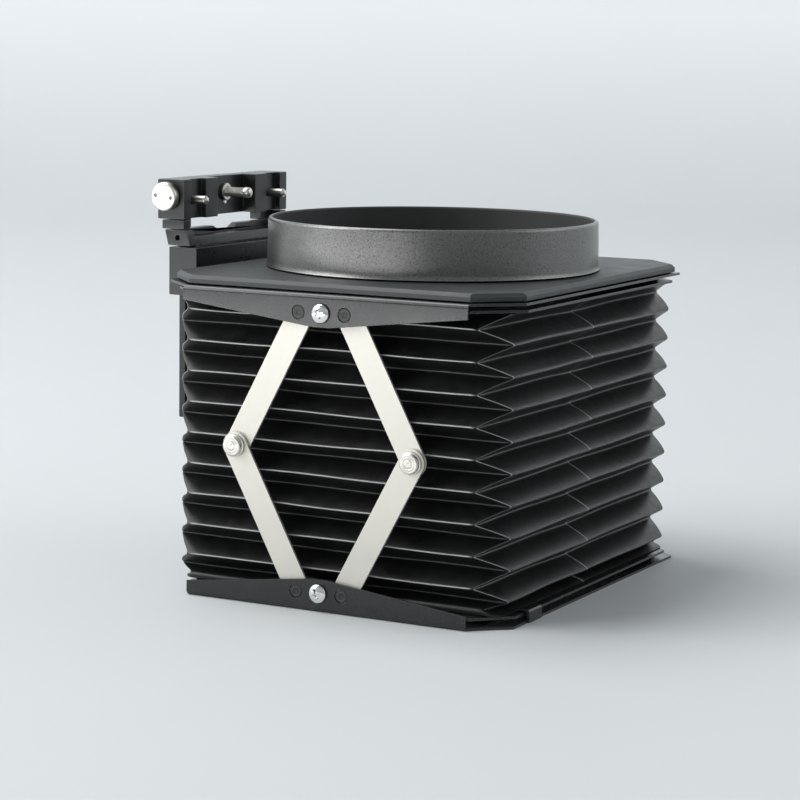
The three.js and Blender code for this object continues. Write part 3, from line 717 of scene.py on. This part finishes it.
def domed_screw(name, side, node):
    """A domed screw with a tapered cross recess."""
    middle, top, end = outer_face(side, node)
    dome = []
    for step in range(1, DOME_STEPS + 1):
        angle = math.pi / 2 * step / DOME_STEPS
        dome.append((HEAD_R * math.sin(angle), DOME_HIGH * (1 - math.cos(angle))))
    profile = [
        (0, 0), *dome, (HEAD_R - 0.05, HEAD_HIGH), (SCREW_R, HEAD_HIGH), (SCREW_R, end), (0, end),
    ]
    piece = sunk(name, side, node, profile, chrome, 48)
    tools = []
    for turn in (20, 110):
        cos, sin = math.cos(math.radians(turn)), math.sin(math.radians(turn))
        loops = []
        for along, across, depth in ((1.75, 0.34, -0.4), (1.45, 0.28, 0.35), (0.75, 0.2, 0.95)):
            y = top - side * depth
            corners = ((-along, -across), (along, -across), (along, across), (-along, across))
            loops.append([
                (middle.x + a * cos - b * sin, y, middle.z + a * sin + b * cos) for a, b in corners
            ])
        tools.append(skinned("cross", loops, chrome, capped=True))
    return combined(piece, tools, "DIFFERENCE")


for side_name, side in SIDES.items():
    for end in ("front", "rear"):
        screw = domed_screw(f"{end}_dome_{side_name}", side, f"{end}_screw_{side_name}")
        placed(screw, end, "screw_chrome", f"{end}_screw_{side_name}")
    for hand in HANDS:
        corner = f"{side_name}_{hand}"
        knee = node_middle(f"knee_{corner}")
        for end, layer in (("front", "lower"), ("rear", "upper")):
            node = f"{end}_pivot_{corner}"
            placed(flush_rivet(f"{end}_rivet_{corner}", side, node), end, "rivet_black", node)
            pivot = node_middle(node)
            low, high = node_box(f"{layer}_strut_{corner}")
            arm = strut(f"{layer}_arm_{corner}", (pivot.x, pivot.z), (knee.x, knee.z), low.y, high.y)
            placed(arm, f"{layer}_{corner}", "strut_nickel", f"{layer}_strut_{corner}")
        rivet = knee_rivet(f"knee_rivet_{corner}", side, f"knee_{corner}")
        placed(rivet, f"lower_{corner}", "rivet_steel", f"knee_{corner}")


# ======== bellows ========
FOLDS = 18
FOLD_STEP = 4.88
FIRST_FOLD = 90.3
MEAN_X = 55.0
MEAN_Y = 64.5
DEPTH = 4.13
WALL = 0.8
CORNER_ROUND = 1.0
CUFF_ROUND = 4.0            # corner radius of the lower glued end
CUFF_LEFT = 55.1            # its reach towards -X
CUFF_RIGHT = 58.1           # and towards +X
LEFT_SHARE = 0.8            # the -X side's folds are this much shallower on the outside
# in the next two, 0 is for the Y sides and 1 for the X sides
BLUNT = (0.28, 0.55)        # how far a fold line's rounding reaches
BULGES = {(0, True): 0.15, (0, False): -0.1, (1, True): 0.75, (1, False): -0.25}    # True below a valley
OVERSHOOT = 1.08            # how much higher a ridge would be if it were not rounded
WAVE_OUT = 0.16             # unevenness of a fold line outwards
WAVE_UP = 0.2               # and upwards
SEAM_Y = -3.2               # the seam's place on the +X side
SEAM_RISE = 0.3             # how far the lapped layer stands out beside the seam
SEAM_OFFSETS = (-9, -5, -2, -0.6, -0.18, 0, 0.14, 0.5, 2)
LAST_FOLD = 17.45           # place of the X sides' lowest valley, in fold steps
RUB_AND_HIGHLIGHT_REACH = 0.17            # how far a paler line, rubbed wear and painted highlight, reaches from its ridge
NEAR_RIDGE = (0.0, 0.12, 0.26, 0.42, 0.64, 0.95, 1.4, 1.9)
CORNER_RUB_AND_HIGHLIGHT = (0, 0, 0, 0.35, 1, 0.35, 0, 0, 0)      # how pale the skin is painted round a corner: rubbed wear and painted highlight


def fold_keys(bellows_low, bellows_high):
    """Heights of the folds, each with the way the Y sides and the X sides swing there."""
    keys = [(bellows_high, -0.8, 0.8)]
    for fold in range(FOLDS):
        way = 1 if fold % 2 == 0 else -1
        keys.append((FIRST_FOLD - fold * FOLD_STEP, way, -way))
    keys.append((FIRST_FOLD - LAST_FOLD * FOLD_STEP, -0.05, -0.75))
    keys.append((bellows_low, 0.0, 0.0))
    return keys


def bellows():
    """A folded skin with an inner wall, which sinks with the front frame."""
    low, high = node_box("bellows")
    keys = fold_keys(low.z, high.z)
    heights = set()
    for (top, *_), (bottom, *_) in zip(keys, keys[1:]):
        half = (top - bottom) / 2
        for distance in NEAR_RIDGE:
            if distance < half:
                heights.add(round(top - distance, 4))
                heights.add(round(bottom + distance, 4))
        heights.add(round(top - half, 4))
    heights = sorted(heights, reverse=True)

    def raw(z, which):
        """How far the skin swings outwards before its fold lines are rounded."""
        for (top, *a), (bottom, *b) in zip(keys, keys[1:]):
            if z >= bottom - 1e-9:
                share = clamp((top - z) / (top - bottom))
                start, end = a[which], b[which]
                bulge = BULGES[which, end > start] * 4 * share * (1 - share)
                return DEPTH * OVERSHOOT * (start + (end - start) * share) + bulge
        return DEPTH * keys[-1][1 + which]

    def swing(z, which):
        near = [raw(clamp(z + BLUNT[which] * i / 3, low.z, high.z), which) for i in range(-3, 4)]
        return sum(near) / len(near)

    phases = {}

    def wobble(side, fold, place):
        """How far a fold line strays outwards and upwards at a place along it."""
        if (side, fold) not in phases:
            phases[side, fold] = [random.uniform(0, 2 * math.pi) for _ in range(4)]
        p = phases[side, fold]
        wave = math.sin(0.055 * place + p[0]) + 0.6 * math.sin(0.12 * place + p[1])
        lift = math.sin(0.05 * place + p[2]) + 0.6 * math.sin(0.11 * place + p[3])
        return WAVE_OUT * wave, WAVE_UP * lift

    def unevenness(side, z, place, half):
        """The same between two fold lines. It fades towards corners and glued ends."""
        position = (FIRST_FOLD - z) / FOLD_STEP
        fold = math.floor(position)
        share = position - fold
        out0, lift0 = wobble(side, fold, place)
        out1, lift1 = wobble(side, fold + 1, place)
        fade = max(0.0, 1 - (place / half) ** 4)
        fade *= clamp(min(z - low.z, high.z - z) / 3)
        return (out0 * (1 - share) + out1 * share) * fade, (lift0 * (1 - share) + lift1 * share) * fade

    stops = [-0.97, -0.92, -0.84, -0.74, -0.62, -0.5, -0.37, -0.25, -0.12, 0.0]
    stops += [-stop for stop in stops[-2::-1]]
    seam_side = [stop for stop in stops if abs(stop * MEAN_Y - SEAM_Y + 4) > 7]

    def seam_rise(y):
        return SEAM_RISE * clamp((y - SEAM_Y + 12) / 7) if y <= SEAM_Y else 0.0

    def corner_rub_and_highlight(z):
        """How pale a corner is painted, as rubbed wear and painted highlight: more where it leads from a Y
        ridge down to an X ridge.
        """
        for (top, _, above), (bottom, _, below) in zip(keys[:-1], keys[1:-1]):
            if z >= bottom:
                return 1.0 if below > above else 0.3
        return 0.0

    def fold_rub_and_highlight(z, way):
        """How pale a fold line is painted, as rubbed wear and painted highlight: 1 on a Y side's ridge,
        less on an X side's ridge and in a valley.
        """
        rub_and_glint = 0.0
        for key, *swings in keys[1:-1]:
            distance = abs(z - key) / RUB_AND_HIGHLIGHT_REACH
            if distance < 3:
                strength = (1.0, 0.2)[way] if swings[way] > 0 else 0.22
                rub_and_glint = max(rub_and_glint, strength * math.exp(-distance * distance))
        return rub_and_glint

    last_valley = keys[-2][0]
    rows = []
    rubs_and_highlights = []
    for z in heights:
        cuff = clamp((last_valley - z) / (last_valley - low.z))
        round_off = CORNER_ROUND + (CUFF_ROUND - CORNER_ROUND) * cuff
        swing_x = swing(z, 1)
        right = MEAN_X + swing_x + (CUFF_RIGHT - MEAN_X) * cuff
        left = MEAN_X + swing_x * (LEFT_SHARE if swing_x > 0 else 1.0) + (CUFF_LEFT - MEAN_X) * cuff
        half_y = MEAN_Y + swing(z, 0)
        row = []
        rub_and_highlight_row = []
        for quarter in range(4):
            cos, sin = (0, 1, 0, -1)[quarter], (-1, 0, 1, 0)[quarter]
            on_y = quarter % 2 == 0
            on_seam = quarter == 1
            middle = (right - left) / 2 * -sin
            half_long = ((left + right) / 2 if on_y else half_y) - round_off
            half_out = (half_y, right, half_y, left)[quarter]
            places = [stop * half_long for stop in (seam_side if on_seam else stops)]
            if on_seam:
                places += [SEAM_Y + offset for offset in SEAM_OFFSETS]
            for place in sorted(places):
                out, lift = unevenness(quarter, z, place, half_long)
                if on_seam:
                    out += seam_rise(place)
                reach = half_out + out
                along = place + middle
                row.append((cos * reach - sin * along + AXIS, sin * reach + cos * along, z + lift))
                stitched = on_seam and abs(place - SEAM_Y) < 0.2
                # pale along the seam's stitching and along the fold lines: rubbed wear and painted
                # highlight
                rub_and_glint = 1.0 if stitched else fold_rub_and_highlight(z, 0 if on_y else 1)
                rub_and_highlight_row.append(rub_and_glint * random.uniform(0.55, 1.0))
            centre_x = right - round_off if quarter < 2 else round_off - left
            centre_y = (half_y - round_off) * (-1, 1, 1, -1)[quarter]
            # corners painted paler: rubbed wear and painted highlight on the leading corners
            leading = corner_rub_and_highlight(z)
            turn = 90 * (quarter - 1)
            for (x, y), rub_and_glint in zip(arc((centre_x, centre_y), round_off, turn, turn + 90, 8), CORNER_RUB_AND_HIGHLIGHT):
                row.append((x + AXIS, y, z))
                rub_and_highlight_row.append(rub_and_glint * leading * random.uniform(0.6, 1.0))
        rows.append(row)
        rubs_and_highlights.append(rub_and_highlight_row)

    end_x = MEAN_X + swing(high.z, 1)
    end_y = MEAN_Y + swing(high.z, 0)
    inside = []
    for z, way_y, way_x in keys:
        half_x = MEAN_X + DEPTH * min(way_x, LEFT_SHARE)
        half_y = MEAN_Y + DEPTH * way_y
        row = []
        for x, y, _ in rows[0]:
            across = clamp((x - AXIS) / end_x, -1.0)
            along = clamp(y / end_y, -1.0)
            row.append((across * (half_x - WALL) + AXIS, along * (half_y - WALL), z))
        inside.append(row)
    piece = skinned("bellows_skin", rows + inside[::-1], leatherette)
    # The mask of paler fold lines and corners: rubbed wear and painted highlight.
    mask = piece.data.attributes.new("rub_and_highlight", "FLOAT", "POINT")
    values = [value for row in rubs_and_highlights for value in row] + [0.0] * (len(rows[0]) * len(inside))
    mask.data.foreach_set("value", values)
    piece.data.shade_smooth()
    piece.data.set_sharp_from_angle(angle=math.radians(60))
    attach(piece, "front")
    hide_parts("bellows")
    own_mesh(piece)


random.seed(7)              # so that every run gives the same folds
bellows()


# ======== bracket ========
SLAB_FACE = AXIS - 70.2     # the carriage's face towards the hood
FOOT_Y = 24.0               # middle of each foot of the carriage
FOOT_HALF = 5.0
FOOT_TOP = 95.0
RAIL_Y = 28.5
SLOT_HALF = 3.3             # half width of the carriage's slot for a rail
SLOT_X = (AXIS - 78.2, AXIS - 75.2)
BLOCK_FACE = AXIS - 74.0
STEP_X = AXIS - 79.0        # the block and the necks change height or width here
LEDGE_DROP = 2.2            # how much lower the block's ledge is
BLOCK_LEAN = 1.3
NOTCH_FLOOR = 3.5           # half length of the notch's floor
NOTCH_MOUTH = 11.0          # and of its mouth, a millimetre above the block
BLIND_R = 0.9               # the blind hole in the block's near end
BLIND_DEEP = 2.4
BLIND_IN = 3.6              # from the block's face to the hole
NECK_IN = 29.0              # inner side of a neck's front part
NECK_LIP = 22.4             # and of its back part
CENTRE_GROOVE = 5.0         # depth of the bar's middle groove
PIN_GROOVE = 2.0            # depth of the grooves round the locating pins
LAND_IN = 12.0              # the raised land beside the middle groove
LAND_OUT = 19.5
LIP_IN = 28.5               # the raised lip at each end
KNURLS = 24
KNURL_DEPTH = 0.35
THREADS = 12
STUD_NOSE = 2.6             # length of the stud's plain nose
LOCK_R = 1.75               # the lock screw's shank
GRIP_GAP = 0.3              # between a knurled grip and what it is screwed to
CAP_HOLES = 2.9             # the two holes of the end cap, from its middle
CAP_HOLE_R = 0.62
CAP_THICK = 2.6
CAP_BORE_R = 2.3            # the bore in the bar behind the cap


def carriage():
    low, high = node_box("carriage")
    piece = block("carriage_slab", low, (SLAB_FACE, high.y, high.z), anodised)
    feet = []
    slots = []
    for side in SIDES.values():
        y = FOOT_Y * side
        start = (SLAB_FACE - 2, y - FOOT_HALF, low.z)
        feet.append(block("foot", start, (high.x, y + FOOT_HALF, FOOT_TOP), anodised))
        y = RAIL_Y * side
        start = (SLOT_X[0], y - SLOT_HALF, low.z - 1)
        slots.append(block("slot", start, (SLOT_X[1], y + SLOT_HALF, high.z + 1), anodised))
    combined(piece, feet, "UNION")
    combined(piece, slots, "DIFFERENCE")
    placed(rounded(piece, 0.3), "rear", "slide_anodised", "carriage")


def slide_block():
    """A leaning block, lower in front, with a notch across its ledge and a small hole in its near end."""
    low, high = node_box("slide_block")
    section = [
        (low.x + BLOCK_LEAN, low.z), (BLOCK_FACE + BLOCK_LEAN, low.z), (BLOCK_FACE, high.z),
        (low.x, high.z),
    ]
    piece = prism("bracket_block", section, low.y, high.y, "y", anodised)
    ledge = high.z - LEDGE_DROP
    beyond = BLOCK_FACE + 3
    step = block("step", (STEP_X, low.y + 4, ledge), (beyond, high.y - 4, high.z + 2), anodised)
    notch_outline = [
        (-NOTCH_FLOOR, high.z - 2), (NOTCH_FLOOR, high.z - 2), (NOTCH_MOUTH, high.z + 1),
        (-NOTCH_MOUTH, high.z + 1),
    ]
    notch_cut = prism("notch", notch_outline, low.x - 2, beyond, "x", anodised)
    hole_at = (BLOCK_FACE - BLIND_IN, low.y, (low.z + high.z) / 2)
    hole = rod("hole", BLIND_R, -1, BLIND_DEEP, hole_at, "y", anodised, 24)
    combined(piece, [step, notch_cut, hole], "DIFFERENCE")
    placed(rounded(piece, 0.28), "bracket", "slide_anodised", "slide_block")


def lying(node):
    """A round node along X: its two ends, its radius, and a point on its axis."""
    low, high = node_box(node)
    middle = (low + high) / 2
    return low.x, high.x, (high.y - low.y) / 2, Vector((0, middle.y, middle.z))


def rails_and_necks():
    for side_name, side in SIDES.items():
        low, high = node_box(f"slide_rail_{side_name}")
        rail = block(f"rail_{side_name}", low, high, blackened)
        placed(rounded(rail, 0.35), "bracket", "rail_black", f"slide_rail_{side_name}")
        start, end, r, axis = lying(f"rail_stop_{side_name}")
        profile = [
            (0, start), (r - 0.3, start), (r, start + 0.3), (r, end - 0.3), (r - 0.3, end), (0, end),
        ]
        stop = turned(f"stop_{side_name}", profile, axis, "x", blackened, 32)
        placed(stop, "bracket", "rail_black", f"rail_stop_{side_name}")
        low, high = node_box(f"neck_{side_name}")
        end = max(abs(low.y), abs(high.y))
        outline = [
            (low.x, side * end), (high.x, side * end), (high.x, side * NECK_IN), (STEP_X, side * NECK_IN),
            (STEP_X, side * NECK_LIP), (low.x, side * NECK_LIP),
        ]
        neck = prism(f"bracket_neck_{side_name}", outline, low.z, high.z, "z", anodised)
        placed(rounded(neck, 0.25), "bracket", "bar_anodised", f"neck_{side_name}")


def mounting_bar():
    """The bar, grooved across its face. Gives the place of the middle groove's floor."""
    low, high = node_box("mounting_bar")
    face = high.x
    centre = face - CENTRE_GROOVE
    pins = face - PIN_GROOVE
    half = [
        (low.x, high.y), (face, high.y), (face, LIP_IN), (pins, LIP_IN), (pins, LAND_OUT),
        (face, LAND_OUT), (face, LAND_IN), (centre, LAND_IN),
    ]
    outline = half + [(x, -y) for x, y in half[::-1]]
    piece = prism("bracket_bar", outline, low.z, high.z, "z", anodised)
    cap = node_middle("end_cap")
    drill = rod("drill", CAP_BORE_R, low.y - 1, low.y + 6, (cap.x, 0, cap.z), "y", anodised)
    combined(piece, [drill], "DIFFERENCE")
    placed(rounded(piece, 0.32), "bracket", "bar_anodised", "mounting_bar")
    return centre


def knurled_grip(name, axis, radius, x0, x1, material):
    """A knurled grip with chamfered rims, between two places along X."""
    sides = 4 * KNURLS
    loops = []
    for share, inset, bite in (
        (0.0, 1.3, 0.0), (0.08, 0.45, 0.0), (0.16, 0.05, KNURL_DEPTH), (0.84, 0.05, KNURL_DEPTH),
        (0.92, 0.45, 0.0), (1.0, 1.0, 0.0),
    ):
        loop = []
        for i in range(sides):
            angle = 2 * math.pi * i / sides
            r = radius - inset - bite * (0, 0.5, 1, 0.5)[i % 4]
            x = x0 + (x1 - x0) * share
            loop.append((x, axis.y + r * math.cos(angle), axis.z + r * math.sin(angle)))
        loops.append(loop)
    return skinned(name, loops, material, capped=True)


def bracket_screws(centre):
    """The thumb screw, its collar, the lock screw, the two pins and the set screw."""
    head, tip, radius, axis = lying("thumb_screw")
    back = node_box("mounting_bar")[0].x - GRIP_GAP
    grip = knurled_grip("thumb_grip", axis, radius, head, back, turned_steel)
    placed(grip, "thumb_screw", "pin_steel", "thumb_screw")
    profile = [(0, back - 1), (1.5, back - 1), (1.5, centre - 0.5)]
    pitch = (tip - STUD_NOSE - centre) / THREADS
    for i in range(THREADS):
        start = centre + i * pitch
        profile += [(1.38, start), (1.62, start + pitch / 2)]
    profile += [
        (1.4, tip - STUD_NOSE), (1.45, tip - 2.4), (1.8, tip - 2.2), (1.82, tip - 1.2), (1.6, tip - 0.5),
        (1.1, tip - 0.12), (0.5, tip), (0, tip),
    ]
    stud = turned("thumb_stud", profile, axis, "x", turned_steel, 40)
    placed(stud, "thumb_screw", "pin_steel")
    ring = [
        (1.75, centre + 0.05), (2.75, centre + 0.05), (2.9, centre + 0.2), (2.9, centre + 1.0),
        (2.7, centre + 1.2), (1.9, centre + 1.2), (1.75, centre + 1.05),
    ]
    collar = turned("stud_collar", ring, axis, "x", turned_steel, 40, closed=True)
    placed(collar, "bracket", "pin_steel")

    head, tip, radius, axis = lying("lock_screw")
    back = node_box("carriage")[0].x - GRIP_GAP
    grip = knurled_grip("lock_grip", axis, radius, head, back, blackened)
    shank = rod("shank", LOCK_R, back - 1, tip, axis, "x", blackened, 32)
    combined(grip, [shank], "UNION")
    placed(grip, "lock_screw", "rail_black", "lock_screw")

    for side_name in SIDES:
        start, end, r, axis = lying(f"locating_pin_{side_name}")
        profile = [
            (0, start), (r - 0.2, start), (r, start + 0.2), (r, end - 0.95), (r - 0.12, end - 0.75),
            (r - 0.62, end - 0.1), (r - 0.8, end), (0, end),
        ]
        pin = turned(f"pin_{side_name}", profile, axis, "x", turned_steel, 40)
        placed(pin, "bracket", "pin_steel", f"locating_pin_{side_name}")

    start, end, r, axis = lying("set_screw")
    profile = [(0, start), (r, start), (r, end - 0.3), (r - 0.3, end), (0, end)]
    screw = turned("stop_screw", profile, axis, "x", chrome, 24)
    placed(screw, "bracket", "cap_silver", "set_screw")


def end_cap():
    low, high = node_box("end_cap")
    middle = (low + high) / 2
    r = (high.x - low.x) / 2
    top = low.y
    profile = [
        (0, top + 0.06), (r - 1.2, top + 0.02), (r - 0.7, top), (r - 0.3, top + 0.12),
        (r - 0.06, top + 0.36), (r, top + 0.7), (r, top + CAP_THICK - 0.3), (r - 0.25, top + CAP_THICK),
        (2, top + CAP_THICK), (2, high.y), (0, high.y),
    ]
    piece = turned("two_hole_cap", profile, (middle.x, 0, middle.z), "y", turned_steel, 56)
    holes = []
    for x in (-CAP_HOLES, CAP_HOLES):
        place = (middle.x + x, 0, middle.z - 0.12 * x)
        holes.append(rod("hole", CAP_HOLE_R, top - 1, top + 1.7, place, "y", turned_steel, 20))
    combined(piece, holes, "DIFFERENCE")
    placed(piece, "bracket", "cap_silver", "end_cap")


carriage()
slide_block()
rails_and_necks()
bracket_screws(mounting_bar())
end_cap()

for side_name in SIDES:
    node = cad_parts[f"carriage_screw_{side_name}"]
    node.data.materials.clear()
    node.data.materials.append(turned_steel)


# ======== floor, light and camera ========
FLOOR_R = 1.5               # where the floor begins to curve up, in metres
WALL_BEND = 1.3
WALL_TOP = 3.0
BEND_RINGS = 14
FLOOR_SIDES = 96
DARK_WAY = (0.47, -0.88, 0.0)   # the level direction in which the floor and the wall get darker: painted shade in the paper's colour, and less glow
LOW_GLOW = 0.24             # the wall's own light just above the floor
HIGH_GLOW = 0.25            # and what it gains further up
DARK_SIDE = 0.35            # the share left on the wall's darkest side
CAMERA_AT = (398.55, -744.47, 177.65)
CAMERA_WAY = (27.94, 8.2)   # azimuth and elevation of its line of sight
CAMERA_ROLL = 0.83
CAMERA_LENS = 115.69        # focal length, for a sensor 36 mm wide


def sweep():
    """A pale floor that curves up into a softly lit wall all round."""
    profile = [(FLOOR_R * i / 4, 0.0) for i in range(5)]
    profile += arc((FLOOR_R, WALL_BEND), WALL_BEND, -90, 0, BEND_RINGS)[1:]
    profile.append((FLOOR_R + WALL_BEND, WALL_TOP))
    points = [(0, 0, 0)]
    faces = []
    for radius, height in profile[1:]:
        for i in range(FLOOR_SIDES):
            angle = 2 * math.pi * i / FLOOR_SIDES
            points.append((radius * math.cos(angle), radius * math.sin(angle), height))
    for i in range(FLOOR_SIDES):
        faces.append([0, 1 + i, 1 + (i + 1) % FLOOR_SIDES])
    for level in range(len(profile) - 2):
        below = 1 + level * FLOOR_SIDES
        faces += band(FLOOR_SIDES, below + FLOOR_SIDES, below)
    mesh = bpy.data.meshes.new("sweep")
    mesh.from_pydata(points, [], faces)
    mesh.shade_smooth()
    mesh.materials.append(paper())
    linked("sweep", mesh)


def paper():
    """The pale paper of the sweep, painted darker on the camera's side as painted shade. It has a soft
    light of its own above the floor.
    """
    finish = Finish("pale_paper")
    mottle = finish.noise(3)
    facing = finish.dot(finish.place, DARK_WAY)
    pale = finish.colours(mottle, grey(0.62, PAPER), grey(0.66, PAPER))
    # Painted shade: darker paper from 0.32 to 0.65 m out on the camera's side, in place of a dark room
    # there.
    painted_camera_side_shade = finish.ramp(facing, 0.32, 0.65, 0.0, 1.0)
    height = finish.node("ShaderNodeSeparateXYZ", {"Vector": finish.place}).outputs["Z"]
    low_glow = finish.ramp(height, 0.0, 0.2, 0.0, LOW_GLOW)
    high_glow = finish.ramp(height, 0.3, 0.9, 0.0, HIGH_GLOW)
    shade = finish.ramp(facing, 0.4, 2.4, 1.0, DARK_SIDE)
    finish.fill(finish.shader, {
        "Base Color": finish.colours(painted_camera_side_shade, pale, grey(0.3, PAPER)),
        "Roughness": finish.ramp(mottle, *MOTTLE, 0.5, 0.6), "Specular IOR Level": 0.05,
        "Emission Color": grey(1.0, PAPER),
        "Emission Strength": finish.math("MULTIPLY", finish.math("ADD", low_glow, high_glow), shade),
    })
    return finish.material


def away(azimuth, elevation):
    """The direction from the object to a place. Azimuth 0 is on the -Y side and 90 on the +X side."""
    a, e = math.radians(azimuth), math.radians(elevation)
    return Vector((math.sin(a) * math.cos(e), -math.cos(a) * math.cos(e), math.sin(e)))


def hung(name, data, place, turn):
    """A light or a camera at a place, turned by a quaternion."""
    made = linked(name, data)
    made.location = place
    made.rotation_mode = "QUATERNION"
    made.rotation_quaternion = turn
    return made


def softbox(name, azimuth, elevation, distance, width, height, power, aim=(0.0, 0.0, 0.05)):
    """A rectangular light that faces the object. Its lengths are in metres."""
    data = bpy.data.lights.new(name, "AREA")
    data.shape = "RECTANGLE"
    data.size = width
    data.size_y = height
    data.energy = power
    back = away(azimuth, elevation)
    return hung(name, data, Vector(aim) + back * distance, back.to_track_quat("Z", "Y"))


def floor_panel():
    """A flat light that lies on the floor in front of the near side and shines upwards."""
    light = softbox("floor_panel", 0, 90, 0.004, 1.0, 0.52, 8, aim=(-0.28, -0.6, 0.0))
    light.rotation_mode = "XYZ"
    light.rotation_euler = (math.pi, 0.0, math.radians(-28))


def studio():
    sweep()
    world = bpy.data.worlds.new("studio")
    bpy.context.scene.world = world
    world.use_nodes = True
    background = world.node_tree.nodes["Background"]
    background.inputs["Color"].default_value = (0.93, 0.97, 1.0, 1.0)
    background.inputs["Strength"].default_value = 0.25
    floor_panel()
    softbox("front_left", -52, 30, 1.4, 0.9, 0.7, 9)
    softbox("right", 118, 26, 1.5, 1.1, 0.7, 1.8)
    softbox("overhead", -84, 63, 2.9, 2.1, 1.6, 50)
    bpy.context.scene.view_settings.view_transform = "Standard"
    bpy.context.scene.view_settings.look = "None"


def camera():
    """The photograph's viewing angle."""
    turn = (-away(*CAMERA_WAY)).to_track_quat("-Z", "Y")
    roll = Matrix.Rotation(math.radians(CAMERA_ROLL), 4, "Z").to_quaternion()
    data = bpy.data.cameras.new("camera")
    data.sensor_width = 36.0
    data.lens = CAMERA_LENS
    data.clip_start = 0.05
    data.clip_end = 20.0
    bpy.context.scene.camera = hung("camera", data, Vector(CAMERA_AT) * MM, turn @ roll)


camera()
studio()
